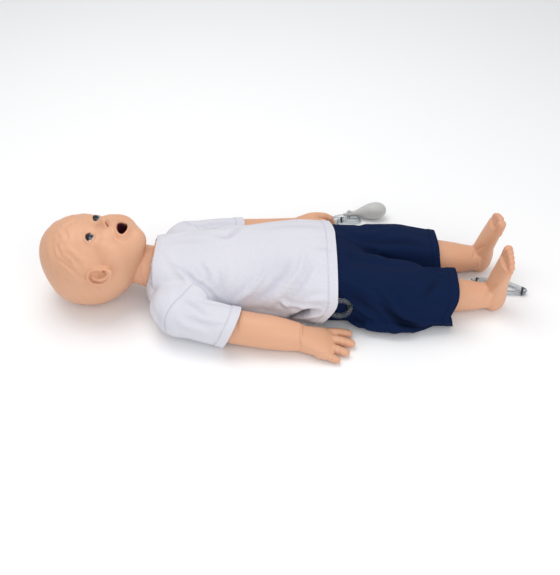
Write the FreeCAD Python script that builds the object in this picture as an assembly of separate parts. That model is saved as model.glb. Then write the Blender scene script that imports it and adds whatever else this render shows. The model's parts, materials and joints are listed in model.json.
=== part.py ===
"""Infant resuscitation training manikin, lying on its back.

Millimetres. +X runs from the crown of the head to the feet, -Y is the manikin's
right side and +Z is up. The origin is on the floor, under the middle of the back.
"""
import FreeCAD
import Part
import math
import os

Vector = FreeCAD.Vector
X_AXIS = Vector(1, 0, 0)
Y_AXIS = Vector(0, 1, 0)
Z_AXIS = Vector(0, 0, 1)

# Trunk, measured on the hard and soft shell under the clothes
shoulder_half_width = 61.4
chest_half_width = 71.4
belly_half_width = 80.5
hip_half_width = 82.0
shoulder_depth = 93.0
chest_depth = 101.0
belly_depth = 106.0
neck_hole_x = -130.0
trunk_end_x = 118.0
split_height = 44.0

# Shirt and shorts, as the room between cloth and shell
cloth = 1.2
shirt_ease = 3.6
shirt_hem_ease = 15.5
shirt_hem_x = 146.0
hem_slant_deg = 28.0
hem_slant_z = 62.0
shorts_ease = 1.8
waist_x = 104.0
collar_width = 8.0

# Walls and clearances
shell_wall = 3.0
vinyl_wall = 4.0
soft_gap = 0.3
running_fit = 0.08

# Head and neck
neck_pivot_x = -160.0
neck_axis_z = 62.0
neck_ball_radius = 22.0
neck_stem_radius = 13.0
airway_bore = 7.5
airway_radius = 5.2
neck_skin_radius = 31.0
neck_base_radius = 33.0
neck_base_z = 54.0
socket_wall = 3.2
socket_opening_deg = 66.0
crown_x = -303.0
chin_x = -142.0
head_half_width = 67.0
head_height = 137.0
eye_x = -217.0
eye_spacing = 46.0
eye_radius = 12.0
mouth_x = -173.0
mouth_half_width = 13.0
mouth_half_length = 7.5
mouth_depth = 30.0

# Arms
shoulder_x = -92.0
shoulder_z = 41.0
shoulder_disc_y = 63.0
shoulder_disc_radius = 21.0
disc_gap = 0.4
boss_inner_y = 42.0
shoulder_y = 91.0
shoulder_bolt_radius = 4.0
bolt_depth = 9.0
wrist_x = 96.0
upper_arm_radius = 25.0
elbow_radius = 26.0
wrist_radius = 20.5
sleeve_ease = 3.6
sleeve_hem_x = -8.0

# Legs and hips
hip_x = 150.0
hip_y = 44.5
hip_z = 43.0
thigh_radius = 37.0
calf_radius = 29.0
ankle_radius = 19.0
heel_x = 396.0
leg_spread_x = 200.0
left_foot_spread = 20.0
hip_axle_radius = 5.0
hip_axle_end_y = 66.0
hip_lift_deg = 45.0
hip_web_half_width = 6.8
hip_web_length = 11.0
shorts_hem_x = 326.0

# Chest compression
press_x = -5.0
plate_length = 84.0
plate_width = 78.0
plate_thickness = 3.0
plate_bottom_z = 80.0
spring_radius = 17.0
spring_wire = 4.0
spring_turns = 5.0
seat_rim = 5.0
lung_thickness = 9.0

# Back shell ribs and tube ports
rib_height = 22.0
rib_width = 4.0
rib_places = (-62.0, 52.0, 92.0)
port_x = 98.0
port_z = 36.0
port_radius = 3.5

# Squeeze bulb and the clear tubing
tube_radius = 1.6
bulb_length = 60.0
bulb_radius = 15.0
bulb_neck_radius = 4.4
bulb_neck = Vector(194.0, 197.0, 8.8)
valve_length = 11.0
spigot_length = 6.0
coil_radius = 15.5
coil_bundle_radius = 3.2
coil_x = 152.0
coil_y = -89.2
coil_z = 48.0
tie_width = 3.0
tie_thickness = 0.8
tie_room = 0.5

os.makedirs("parts", exist_ok=True)


def loop_through(points):
    """Closed smooth wire through the given points."""
    curve = Part.BSplineCurve()
    curve.interpolate(Points=points, PeriodicFlag=True)
    return Part.Wire([curve.toShape()])


def signed_power(value, power):
    return math.copysign(abs(value) ** power, value)


def loft(loops):
    return Part.makeLoft(loops, True, False)


def box(x0, x1, y0, y1, z0, z1):
    return Part.makeBox(x1 - x0, y1 - y0, z1 - z0, Vector(x0, y0, z0))


def slab(x0, x1, z0=-10.0, z1=300.0):
    return box(x0, x1, -200, 200, z0, z1)


def cylinder(radius, start, end):
    along = end.sub(start)
    return Part.makeCylinder(radius, along.Length, start, along)


def ellipsoid(centre, rx, ry, rz):
    ball = Part.makeSphere(1.0)
    scale = FreeCAD.Matrix()
    scale.scale(rx, ry, rz)
    shape = ball.transformGeometry(scale)
    shape.translate(centre)
    return shape


def finger(start, end, start_radius, end_radius):
    """Tapered digit with a round tip at each end, as one turned solid."""
    along = end.sub(start)
    length = along.Length
    lean = math.asin((start_radius - end_radius) / length)
    near = Vector(start_radius * math.sin(lean), start_radius * math.cos(lean), 0)
    far = Vector(length + end_radius * math.sin(lean), end_radius * math.cos(lean), 0)
    half = (math.pi / 2 + lean) / 2
    near_mid = Vector(-start_radius * math.cos(half), start_radius * math.sin(half), 0)
    turn = (math.pi / 2 - lean) / 2
    far_mid = Vector(length + end_radius * math.cos(turn), end_radius * math.sin(turn), 0)
    back = Vector(-start_radius, 0, 0)
    tip = Vector(length + end_radius, 0, 0)
    outline = Part.Wire([
        Part.Arc(back, near_mid, near).toShape(),
        Part.makeLine(near, far),
        Part.Arc(far, far_mid, tip).toShape(),
        Part.makeLine(tip, back),
    ])
    solid = Part.Face(outline).revolve(Vector(0, 0, 0), X_AXIS, 360)
    solid.Placement = FreeCAD.Placement(start, FreeCAD.Rotation(X_AXIS, along))
    return solid


def cord_tube(route, radius):
    """Round tube along straight runs joined by arcs as large as the runs allow."""
    edges = []
    here = route[0]
    for before, corner, after in zip(route, route[1:], route[2:]):
        run_in = corner.sub(before)
        run_out = after.sub(corner)
        turn = run_in.getAngle(run_out)
        bend = 0.45 * min(run_in.Length, run_out.Length) / math.tan(turn / 2)
        trim = bend * math.tan(turn / 2)
        start = corner.sub(Vector(run_in).normalize().multiply(trim))
        end = corner.add(Vector(run_out).normalize().multiply(trim))
        inward = Vector(run_out).normalize().sub(Vector(run_in).normalize()).normalize()
        middle = corner.add(inward.multiply(bend / math.cos(turn / 2) - bend))
        edges.append(Part.makeLine(here, start))
        edges.append(Part.Arc(start, middle, end).toShape())
        here = end
        if radius == tube_radius:
            print("  bend radius %.1f mm, turn %.0f degrees" % (bend, math.degrees(turn)))
    edges.append(Part.makeLine(here, route[-1]))
    path = Part.Wire(edges)
    ring = Part.Wire([Part.makeCircle(radius, route[0], route[1].sub(route[0]))])
    tube = path.makePipeShell([ring], True, True)
    print("  path %.1f mm, volume %.2f of %.2f cm3" % (
        path.Length, tube.Volume / 1000, math.pi * radius * radius * path.Length / 1000))
    return tube


def bundle(stations, centre, direction):
    """Hank of tubing as its outer form: oval sections along a level line."""
    across = Vector(-direction.y, direction.x, 0)
    loops = []
    for along, half_width, half_height in stations:
        place = centre.add(Vector(direction).multiply(along))
        oval = Part.Ellipse(Vector(0, 0, 0), half_width, half_height).toShape()
        wire = Part.Wire([oval])
        wire.Placement = FreeCAD.Placement(place, FreeCAD.Rotation(across, Z_AXIS, direction, "XYZ"))
        loops.append(wire)
    return loft(loops)


def bundle_tie(station, centre, direction, width, thickness):
    """Flat band around a hank at one of its stations."""
    along, half_width, half_height = station
    inner_width = half_width + tie_room
    inner_height = half_height + tie_room
    outer = bundle([(along + side * width / 2, inner_width + thickness, inner_height + thickness)
                    for side in (-1, 1)], centre, direction)
    inner = bundle([(along + side * width, inner_width, inner_height) for side in (-1, 1)], centre, direction)
    return outer.cut(inner)


def mirrored(shape):
    return shape.mirror(Vector(0, 0, 0), Y_AXIS)


def save(shape, name):
    solids = shape.Solids
    solid = solids[0] if len(solids) == 1 else Part.makeCompound(solids)
    if not solid.isValid():
        print("not valid:", name)
    solid.exportStep("parts/" + name + ".step")
    size = solid.BoundBox
    print("%-20s solids %d  volume %.1f cm3  x %.1f %.1f  y %.1f %.1f  z %.1f %.1f" % (
        name, len(solids), solid.Volume / 1000.0,
        size.XMin, size.XMax, size.YMin, size.YMax, size.ZMin, size.ZMax))
    return solid


# Cross-sections of the trunk: place, half width, lowest and highest point, share of the hem ease
trunk_stations = [
    (neck_hole_x - 2, 0.60 * shoulder_half_width, 22.0, shoulder_depth - 3, 0.0),
    (neck_hole_x + 3, 0.84 * shoulder_half_width, 12.0, shoulder_depth - 1, 0.0),
    (neck_hole_x + 14, shoulder_half_width, 2.0, shoulder_depth + 1, 0.0),
    (shoulder_x, shoulder_half_width, -2.0, shoulder_depth + 2, 0.0),
    (-60.0, shoulder_half_width + 1.5, -2.0, chest_depth - 2, 0.0),
    (-20.0, chest_half_width, -2.0, chest_depth, 0.0),
    (20.0, chest_half_width + 4, -2.0, chest_depth + 3, 0.05),
    (60.0, belly_half_width - 2, -2.0, belly_depth, 0.2),
    (100.0, belly_half_width, -2.0, belly_depth - 1, 0.7),
    (125.0, hip_half_width, -2.0, belly_depth - 5, 0.95),
    (shirt_hem_x, hip_half_width, -2.0, belly_depth - 9, 1.0),
    (176.0, hip_half_width, -2.0, belly_depth - 14, 1.0),
]


def trunk_loop(station, ease, hem_ease):
    """One cross-section: flat underneath, rounded at the sides and top."""
    x, half_width, bottom, top, hem_share = station
    side_ease = ease + (hem_ease - ease) * hem_share
    top_ease = ease + (hem_ease - ease) * hem_share * 0.3
    middle = bottom + 0.46 * (top - bottom)
    points = []
    count = 18
    for step in range(count):
        angle = 2 * math.pi * step / count
        across = (half_width + side_ease) * signed_power(math.cos(angle), 0.86)
        if math.sin(angle) >= 0:
            height = middle + (top - middle + top_ease) * signed_power(math.sin(angle), 0.90)
        else:
            height = middle + (middle - bottom + ease) * signed_power(math.sin(angle), 0.62)
        points.append(Vector(x, across, height))
    return loop_through(points)


def trunk_form(ease, hem_ease, x0, x1, floor, ceiling=300.0):
    """The trunk between two places, moved outward by the ease and cut flat at the floor height."""
    shape = loft([trunk_loop(station, ease, hem_ease) for station in trunk_stations])
    return shape.common(box(x0, x1, -200, 200, floor, ceiling))


def trunk_tube(ease, hem_ease, wall, x0, x1, outer_floor, inner_floor):
    """Open tube of the trunk form, one wall thick."""
    outer = trunk_form(ease, hem_ease, x0, x1, outer_floor)
    inner = trunk_form(ease - wall, hem_ease - wall, x0 - 1, x1 + 1, inner_floor)
    return outer.cut(inner)


shell_bottom_z = shirt_ease
shell_floor_z = shell_bottom_z + shell_wall


def side_point(y):
    return Vector(shoulder_x, y, shoulder_z)


def shoulder_bores(radius, y0, y1):
    right = cylinder(radius, side_point(-y1), side_point(-y0))
    left = cylinder(radius, side_point(y0), side_point(y1))
    return right.fuse(left)


# Trunk shells: hard back shell below the split, soft chest skin above it
boss_face_y = shoulder_disc_y - disc_gap
boss_radius = shoulder_disc_radius + 3
shell = trunk_tube(0.0, 0.0, shell_wall, neck_hole_x, trunk_end_x, shell_bottom_z, shell_floor_z)
bolt_hole = shoulder_bores(shoulder_bolt_radius + running_fit, 20, 120)
port_places = [Vector(port_x, side * hip_half_width, port_z) for side in (-1, 1)]

back_shell = shell.common(box(-300, 300, -200, 200, -10, split_height))
back_shell = back_shell.cut(shoulder_bores(boss_radius - 1, boss_inner_y + 4, 120))
bosses = shoulder_bores(boss_radius, boss_inner_y, boss_face_y)
bosses = bosses.cut(shoulder_bores(boss_radius - 4, boss_inner_y - 1, boss_face_y - 4))
back_shell = back_shell.fuse(bosses)
rib_form = trunk_form(-shell_wall / 2, 0.0, -80, 110, shell_floor_z - 1, rib_height)
for rib_x in rib_places:
    rib = box(rib_x - rib_width / 2, rib_x + rib_width / 2, -120, 120, 0, rib_height)
    back_shell = back_shell.fuse(rib.common(rib_form))
back_shell = back_shell.cut(bolt_hole)
for place in port_places:
    outward = 1 if place.y > 0 else -1
    hole_start = Vector(port_x, outward * 60, port_z)
    hole_end = Vector(port_x, outward * 95, port_z)
    back_shell = back_shell.cut(cylinder(port_radius + running_fit, hole_start, hole_end))
save(back_shell, "back_shell")

chest_skin = shell.common(box(-300, 300, -200, 200, split_height + soft_gap, 300))
chest_skin = chest_skin.cut(shoulder_bores(boss_radius + soft_gap, boss_inner_y - 2, 120))
save(chest_skin, "chest_skin")

# Ports: flanged bushes where the clear tubing enters the trunk on each side
shell_side_y = belly_half_width
for side, name in ((-1, "tube_port_right"), (1, "tube_port_left")):
    inner = Vector(port_x, side * (shell_side_y - 6), port_z)
    face = Vector(port_x, side * (shell_side_y + 1.5), port_z)
    flange = Vector(port_x, side * (shell_side_y + 0.3), port_z)
    port = cylinder(port_radius, inner, face)
    port = port.fuse(cylinder(port_radius + 1.5, flange, face))
    save(port.cut(cylinder(tube_radius + 0.1, inner, face)), name)

# Neck plate, a bulkhead that carries the neck stem
neck_plate_x = neck_hole_x + 8
neck_plate_thickness = 4.0
neck_plate = trunk_form(-shell_wall - soft_gap, 0.0, neck_plate_x, neck_plate_x + neck_plate_thickness,
                        shell_floor_z + soft_gap)
neck_start = Vector(neck_pivot_x, 0, neck_axis_z)


def neck_point(x):
    return Vector(x, 0, neck_axis_z)


stem_bore = cylinder(neck_stem_radius + running_fit, neck_point(-200), neck_point(0))
save(neck_plate.cut(stem_bore), "neck_plate")

# Neck core: ball, stem and the two collars that hold it in the plate
stem_collar_radius = neck_stem_radius + 4
stem_collar_width = 4.0
neck_core = Part.makeSphere(neck_ball_radius, neck_start)
neck_core = neck_core.fuse(cylinder(neck_stem_radius, neck_start, neck_point(neck_plate_x + 10)))
outer_collar_x = neck_plate_x - stem_collar_width - soft_gap / 2
outer_collar_end = neck_point(outer_collar_x + stem_collar_width)
neck_core = neck_core.fuse(cylinder(stem_collar_radius, neck_point(outer_collar_x), outer_collar_end))
neck_core = neck_core.cut(cylinder(airway_bore, neck_point(-200), neck_point(0)))
save(neck_core, "neck_core")

lock_ring_x = neck_plate_x + neck_plate_thickness + soft_gap / 2
lock_ring_end = neck_point(lock_ring_x + stem_collar_width)
lock_ring = cylinder(stem_collar_radius, neck_point(lock_ring_x), lock_ring_end)
save(lock_ring.cut(stem_bore), "neck_lock_ring")

# Neck skin, a round tube that widens and drops a little towards the shoulders
neck_skin_start_x = neck_pivot_x - 6
neck_skin_end_x = neck_hole_x - 1


def neck_form(extra, x0, x1):
    """The neck's outer form moved outward by extra, as a straight-sided loft between two places."""
    rings = []
    for x in (x0, x1):
        share = (x - neck_skin_start_x) / (neck_skin_end_x - neck_skin_start_x)
        radius = neck_skin_radius + share * (neck_base_radius - neck_skin_radius) + extra
        centre_z = neck_axis_z + share * (neck_base_z - neck_axis_z)
        rings.append(Part.Wire([Part.makeCircle(radius, Vector(x, 0, centre_z), X_AXIS)]))
    return loft(rings)


neck_hollow = neck_form(-shell_wall, neck_skin_start_x - 10, outer_collar_x)
collar_bore = cylinder(stem_collar_radius + soft_gap, neck_point(-200), neck_point(0))
neck_skin = neck_form(0.0, neck_skin_start_x, neck_skin_end_x).cut(neck_hollow).cut(collar_bore)
save(neck_skin, "neck_skin")

# Head
head_stations = [
    (crown_x, 12.0, 66.0, 94.0),
    (crown_x + 4, 27.0, 46.0, 112.0),
    (crown_x + 16, 47.0, 22.0, 127.0),
    (crown_x + 36, 61.0, 6.0, head_height - 1),
    (crown_x + 62, head_half_width, 0.3, head_height),
    (eye_x + 4, head_half_width - 1.0, 3.0, head_height - 6),
    (-186.0, 61.0, 16.0, head_height - 7),
    (-166.0, 53.0, 34.0, head_height - 7),
    (-151.0, 39.0, 52.0, head_height - 12),
    (chin_x, 22.0, 74.0, head_height - 22),
]


def head_loop(station, inset, shift):
    x, half_width, bottom, top = station
    middle = bottom + 0.56 * (top - bottom)
    points = []
    count = 16
    for step in range(count):
        angle = 2 * math.pi * step / count
        up = math.sin(angle)
        reach = (top - middle if up >= 0 else middle - bottom) - inset
        points.append(Vector(x + shift, math.cos(angle) * (half_width - inset), middle + up * reach))
    return loop_through(points)


head_outside = loft([head_loop(station, 0.0, 0.0) for station in head_stations])
inner_stations = head_stations[1:]
head_inside = loft([head_loop(station, vinyl_wall, 0.0) for station in inner_stations[:-1]]
                   + [head_loop(head_stations[-1], vinyl_wall, -vinyl_wall)])
nose = ellipsoid(Vector(-199.0, 0, 133.0), 10.0, 10.5, 13.5)
lips = ellipsoid(Vector(mouth_x, 0, 121.0), 18.0, 22.0, 15.0)
cheeks = ellipsoid(Vector(-184, 33, 98), 31, 25, 29)
cheeks = cheeks.fuse(mirrored(cheeks))
chin = ellipsoid(Vector(-155.0, 0, 106.0), 14.5, 23.0, 18.5)
face = head_outside.fuse(nose).fuse(lips).fuse(cheeks).fuse(chin)


ear_place = Vector(-204.5, -61.5, 91.0)


def ear(side):
    """Flat rim with a hollow, its lobe turned up towards the face."""
    lobe = ellipsoid(Vector(0, 0, 0), 21.0, 7.0, 14.5)
    hollow = ellipsoid(Vector(2, -7.0, 2), 13.0, 4.5, 8.5)
    shape = lobe.cut(hollow)
    shape.rotate(Vector(0, 0, 0), Z_AXIS, -8)
    shape.rotate(Vector(0, 0, 0), X_AXIS, -18)
    shape.rotate(Vector(0, 0, 0), Y_AXIS, -18)
    shape.translate(ear_place)
    return shape if side < 0 else mirrored(shape)


face = face.fuse(ear(-1)).fuse(ear(1))
head_skin = face.cut(head_inside)
neck_opening = cylinder(neck_skin_radius + 0.5, neck_point(-184), neck_point(-100))
neck_opening = neck_opening.fuse(neck_form(0.5, neck_skin_start_x - 1, neck_skin_end_x))
mouth_hole = ellipsoid(Vector(mouth_x, 0, 128), mouth_half_length, mouth_half_width, 30)
head_skin = head_skin.cut(neck_opening).cut(mouth_hole)
eye_centres = [Vector(eye_x, side * eye_spacing / 2, 121.5) for side in (-1, 1)]
for centre in eye_centres:
    head_skin = head_skin.cut(Part.makeSphere(eye_radius + soft_gap, centre))
for side in (-1, 1):
    nostril = Vector(-192.0, side * 4.2, 142.0)
    head_skin = head_skin.cut(finger(nostril, Vector(-200, side * 4.2, 134.0), 1.9, 1.5))
ear_holes = cylinder(1.6, Vector(-199, -80, 97), Vector(-199, 80, 97))
head_skin = head_skin.cut(ear_holes)
save(head_skin, "head_skin")

for centre, name in zip(eye_centres, ("eye_right", "eye_left")):
    save(Part.makeSphere(eye_radius, centre), name)

# Skull plate with the ball socket
plate_x = neck_pivot_x - 17
plate_wall = 4.0
socket_inner = neck_ball_radius + running_fit * 2
skull_plate = loft([head_loop(station, vinyl_wall + soft_gap, 0.0) for station in inner_stations[:-1]])
skull_plate = skull_plate.common(slab(plate_x, plate_x + plate_wall, 0, 86))
socket = Part.makeSphere(socket_inner + socket_wall, neck_start)
skull_plate = skull_plate.fuse(socket).cut(Part.makeSphere(socket_inner, neck_start))
opening = Part.makeCone(0, 60 * math.tan(math.radians(socket_opening_deg)), 60, neck_start, X_AXIS)
skull_plate = skull_plate.cut(opening).cut(cylinder(airway_bore + 1, neck_point(-260), neck_point(-160)))
save(skull_plate, "skull_plate")

# Mouth liner with the outlet for the airway tube
liner_wall = 2.0
liner_centre = Vector(mouth_x - 2, 0, 125.0)
liner_top = 122.0
liner_outer = ellipsoid(liner_centre, 15.0, 19.0, mouth_depth)
liner_inner = ellipsoid(liner_centre, 15.0 - liner_wall, 19.0 - liner_wall, mouth_depth - liner_wall)
mouth_liner = liner_outer.cut(liner_inner).common(slab(-250, -100, 80, liner_top))
head_free = loft([head_loop(station, vinyl_wall + soft_gap, 0.0) for station in inner_stations])
airway_route = [
    Vector(mouth_x - 6, 0, 97.5),
    Vector(mouth_x - 25, 0, 87),
    Vector(mouth_x - 31, 0, 71),
    Vector(mouth_x - 19, 0, neck_axis_z - 0.2),
    Vector(neck_plate_x + 16, 0, neck_axis_z),
    Vector(-76, 0, 82),
    Vector(press_x - plate_length / 2 + 4 - 1.2, 0, 89),
]
mouth_liner = mouth_liner.common(head_free)
outlet_start = airway_route[0].add(Vector(3, 0, 1.7))
mouth_liner = mouth_liner.cut(cylinder(airway_radius + 0.1, outlet_start, airway_route[1]))
save(mouth_liner, "mouth_liner")
airway = cord_tube(airway_route, airway_radius).cut(cord_tube(airway_route, airway_radius - 1.4))
save(airway, "airway_tube")

# Arms
def arm_loop(x, y, z, radius, extra=0.0, lean=0.0):
    """Round cross-section of an arm, turned a little to follow its lean outward."""
    points = []
    count = 12
    for step in range(count):
        angle = 2 * math.pi * step / count
        across = (radius + extra) * math.cos(angle)
        up = (radius + extra) * math.sin(angle)
        points.append(Vector(x + across * math.sin(lean), y + across * math.cos(lean), z + up))
    return loop_through(points)


arm_stations = [
    (shoulder_x - 24.0, shoulder_y - 5, shoulder_z, upper_arm_radius * 0.36),
    (shoulder_x - 19.0, shoulder_y - 3, shoulder_z, upper_arm_radius * 0.68),
    (shoulder_x - 9.0, shoulder_y - 1, shoulder_z, upper_arm_radius * 0.93),
    (shoulder_x + 6.0, shoulder_y + 1, shoulder_z - 2, upper_arm_radius),
    (-52.0, 100.0, 36.0, upper_arm_radius + 0.5),
    (-8.0, 109.0, elbow_radius + 5.2, elbow_radius),
    (22.0, 114.0, elbow_radius + 2.5, elbow_radius - 0.5),
    (56.0, 119.0, elbow_radius + 0.1, elbow_radius - 1.0),
    (wrist_x, 124.0, wrist_radius + 1.4, wrist_radius),
]


arm_lean = 0.12


def arm_tube(extra, stations):
    return loft([arm_loop(x, y, z, radius, extra, -arm_lean) for x, y, z, radius in stations])


def shoulder_end(limb):
    """Adds the flat disc that turns on the trunk, with the bore for the bolt."""
    hub = cylinder(shoulder_disc_radius, side_point(shoulder_disc_y), side_point(shoulder_y))
    shape = limb.fuse(hub).cut(box(-400, 400, 0, shoulder_disc_y, -100, 300))
    bolt_end = side_point(shoulder_y - bolt_depth + 1)
    return shape.cut(cylinder(shoulder_bolt_radius + running_fit, side_point(20), bolt_end))


def palm(stations):
    loops = []
    for x, y, z, half_y, half_z in stations:
        points = []
        for step in range(12):
            angle = 2 * math.pi * step / 12
            points.append(Vector(x, y + half_y * signed_power(math.cos(angle), 0.8),
                                 z + half_z * signed_power(math.sin(angle), 0.9)))
        loops.append(loop_through(points))
    return loft(loops)


# Right hand, palm down on the floor, drawn on the positive side and mirrored
flat_palm = palm([
    (wrist_x - 6, 123.5, 21.0, 20.0, 20.0),
    (wrist_x + 4, 125.0, 19.0, 21.5, 17.0),
    (wrist_x + 18, 126.5, 17.0, 25.0, 14.0),
    (wrist_x + 34, 126.0, 14.0, 27.0, 11.5),
    (wrist_x + 46, 124.5, 11.0, 25.0, 8.0),
])
right_fingers = [
    (Vector(130, 107, 12.5), Vector(166, 103, 8.0), 8.5, 6.5),
    (Vector(130, 120, 13.0), Vector(169, 123, 7.8), 8.5, 6.5),
    (Vector(126, 134, 12.5), Vector(160, 141, 7.5), 8.0, 6.2),
    (Vector(120, 146, 11.0), Vector(146, 155, 6.8), 7.5, 5.6),
    (Vector(112, 106, 12.0), Vector(140, 101.5, 8.0), 9.0, 6.8),
]
arm_right = shoulder_end(arm_tube(0.0, arm_stations)).fuse(flat_palm)
for start, end, start_radius, end_radius in right_fingers:
    arm_right = arm_right.fuse(finger(start, end, start_radius, end_radius))
save(mirrored(arm_right), "arm_right")

# Left hand, resting on its little-finger edge and half closed
left_wrist_stations = arm_stations[:-1] + [(94.0, 131.0, 24.0, wrist_radius)]
left_upper = shoulder_end(arm_tube(0.0, left_wrist_stations))
fist = palm([
    (88.0, 130.0, 24.0, 20.0, 20.5),
    (98.0, 134.0, 24.5, 18.0, 21.5),
    (112.0, 139.0, 25.5, 15.5, 24.0),
    (126.0, 142.0, 26.0, 13.0, 24.0),
    (134.0, 143.0, 26.0, 10.0, 20.0),
])
left_fingers = [
    (Vector(126, 144, 42), Vector(150, 143, 38), 8.0, 6.5),
    (Vector(126, 145, 31), Vector(153, 144, 28), 8.5, 6.8),
    (Vector(126, 145, 20), Vector(151, 144, 18), 8.3, 6.6),
    (Vector(124, 143, 10.5), Vector(144, 142, 8.5), 7.5, 6.0),
    (Vector(108, 132, 40), Vector(138, 126, 43), 9.0, 6.8),
]
arm_left = left_upper.fuse(fist)
for start, end, start_radius, end_radius in left_fingers:
    arm_left = arm_left.fuse(finger(start, end, start_radius, end_radius))
save(arm_left, "arm_left")

# Shoulder bolts
bolt_end_y = shoulder_y - bolt_depth
bolt_start_y = boss_inner_y - 10
bolts = []
for side in (-1, 1):
    bolt = cylinder(shoulder_bolt_radius, side_point(side * bolt_start_y), side_point(side * bolt_end_y))
    bolts.append(bolt)
save(Part.makeCompound(bolts), "shoulder_bolts")

# Sleeves: the arm form moved outward, cut at the armhole and at the slanted hem
dome = arm_stations[0]
sleeve_outer = arm_tube(sleeve_ease + cloth, [(dome[0] - 4.8,) + dome[1:]] + arm_stations[1:])
sleeve_inner = arm_tube(sleeve_ease, [(dome[0] - 3.6,) + dome[1:]] + arm_stations[1:])
hem_cut = box(0, 400, -200, 200, -200, 300)
hem_cut.rotate(Vector(0, 0, 0), Y_AXIS, -8)
hem_cut.translate(Vector(sleeve_hem_x, 0, 30))
sleeve_root_y = shoulder_half_width + shirt_ease + 1.4
hub_room = cylinder(shoulder_disc_radius + 1.0, side_point(shoulder_disc_y), side_point(shoulder_y))
sleeve = sleeve_outer.cut(sleeve_inner).cut(hem_cut).cut(hub_room)
sleeve = sleeve.common(box(-400, 400, sleeve_root_y, 200, 0.2, 300))
save(sleeve, "sleeve_left")
save(mirrored(sleeve), "sleeve_right")

# Shirt body and collar
armholes = shoulder_bores(boss_radius + 1.0, 40, 120)
hem_back = box(0, 200, -200, 200, -200, 0)
hem_back.rotate(Vector(0, 0, 0), Y_AXIS, hem_slant_deg)
hem_back.translate(Vector(shirt_hem_x, 0, hem_slant_z))
shirt_body = trunk_tube(shirt_ease, shirt_hem_ease, cloth, neck_hole_x, shirt_hem_x, 0.0, cloth)
save(shirt_body.cut(armholes).cut(hem_back), "shirt_body")
collar_ease = shirt_ease + soft_gap + cloth
collar_end_x = neck_hole_x - 1.5 + collar_width
collar = trunk_tube(collar_ease, collar_ease, cloth, neck_hole_x - 1.5, collar_end_x, 0.0, 0.0)
save(collar, "shirt_collar")

# Legs
leg_stations = [
    (hip_x + 2, hip_y, hip_z, thigh_radius - 0.4),
    (190.0, 46.0, 42.0, thigh_radius - 1.0),
    (225.0, 45.0, 39.0, thigh_radius - 3),
    (262.0, 43.5, 35.0, calf_radius + 2),
    (300.0, 41.0, 31.5, calf_radius),
    (340.0, 38.5, 28.0, calf_radius - 5),
    (372.0, 36.0, 25.0, ankle_radius),
    (heel_x - 8, 35.0, 26.0, ankle_radius - 1),
]


def foot(heel, lean_deg):
    """Foot standing on its heel with the toes up."""
    stations = [
        (2.0, 0.0, 9.0, 11.0),
        (7.0, 0.0, 14.5, 15.5),
        (18.0, 0.0, 18.0, 18.0),
        (34.0, -1.5, 19.0, 17.5),
        (54.0, -1.0, 15.5, 19.0),
        (76.0, 1.5, 11.5, 22.0),
        (92.0, 3.0, 9.0, 22.5),
    ]
    loops = []
    for z, dx, half_x, half_y in stations:
        points = []
        for step in range(12):
            angle = 2 * math.pi * step / 12
            points.append(Vector(dx + half_x * math.cos(angle), half_y * math.sin(angle), z))
        loops.append(loop_through(points))
    shape = loft(loops)
    toes = [
        (-14.5, 7.4, 112.0),
        (-4.0, 5.6, 112.5),
        (4.5, 5.2, 110.0),
        (12.0, 4.9, 106.5),
        (18.5, 4.6, 102.0),
    ]
    for y, radius, tip in toes:
        root = Vector(4.0, y, 88.0)
        shape = shape.fuse(finger(root, Vector(5.0, y, tip - radius), radius + 0.8, radius))
    shape.rotate(Vector(0, 0, 0), Y_AXIS, lean_deg)
    shape.translate(heel)
    return shape


def leg(side, heel, lean_deg, spread):
    """One leg with its hip ball; the side is -1 for the right leg and 1 for the left."""
    loops = []
    for x, y, z, radius in leg_stations:
        outward = spread * max(0.0, x - leg_spread_x) / (heel_x - leg_spread_x)
        loops.append(arm_loop(x, side * (y + outward), z, radius))
    shape = loft(loops)
    shape = shape.fuse(Part.makeSphere(thigh_radius, Vector(hip_x, side * hip_y, hip_z)))
    standing = foot(heel, lean_deg)
    shape = shape.fuse(standing if side > 0 else mirrored(standing))
    axle_end = Vector(hip_x, side * (hip_axle_end_y + 1), hip_z)
    axle_start = Vector(hip_x, 0, hip_z)
    return shape.cut(cylinder(hip_axle_radius + running_fit, axle_start, axle_end))


right_heel = Vector(heel_x, 35.0, -1.3)
save(leg(-1, right_heel, 3.0, 0.0), "leg_right")
left_heel = Vector(heel_x - 6, 36.0 + left_foot_spread, 0.0)
save(leg(1, left_heel, 12.0, left_foot_spread), "leg_left")

# Pelvis between the hips, with a cup for each thigh and the axle through its web
web_end_x = hip_x + hip_web_length
pelvis_form = trunk_form(0.0, 0.0, trunk_end_x + 0.5, hip_x, shell_bottom_z)
pelvis_web = box(trunk_end_x + 10, web_end_x, -hip_web_half_width, hip_web_half_width, shell_bottom_z, 84.0)
pelvis = pelvis_form.cut(box(trunk_end_x + 6, 400, -74, 74, shell_bottom_z + 5, 88))
cup_gap = 0.5
for side in (-1, 1):
    centre = Vector(hip_x, side * hip_y, hip_z)
    cup = Part.makeSphere(thigh_radius + cup_gap + 3, centre).common(slab(trunk_end_x + 0.5, hip_x - 6))
    pelvis = pelvis.fuse(cup.common(pelvis_form))
pelvis = pelvis.fuse(pelvis_web)
lip_ease = -shell_wall - 0.2
pelvis_lip = trunk_tube(lip_ease, lip_ease, shell_wall, trunk_end_x - 10, trunk_end_x + 1,
                        shell_floor_z + 0.2, shell_floor_z + shell_wall)
pelvis = pelvis.fuse(pelvis_lip)
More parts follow.
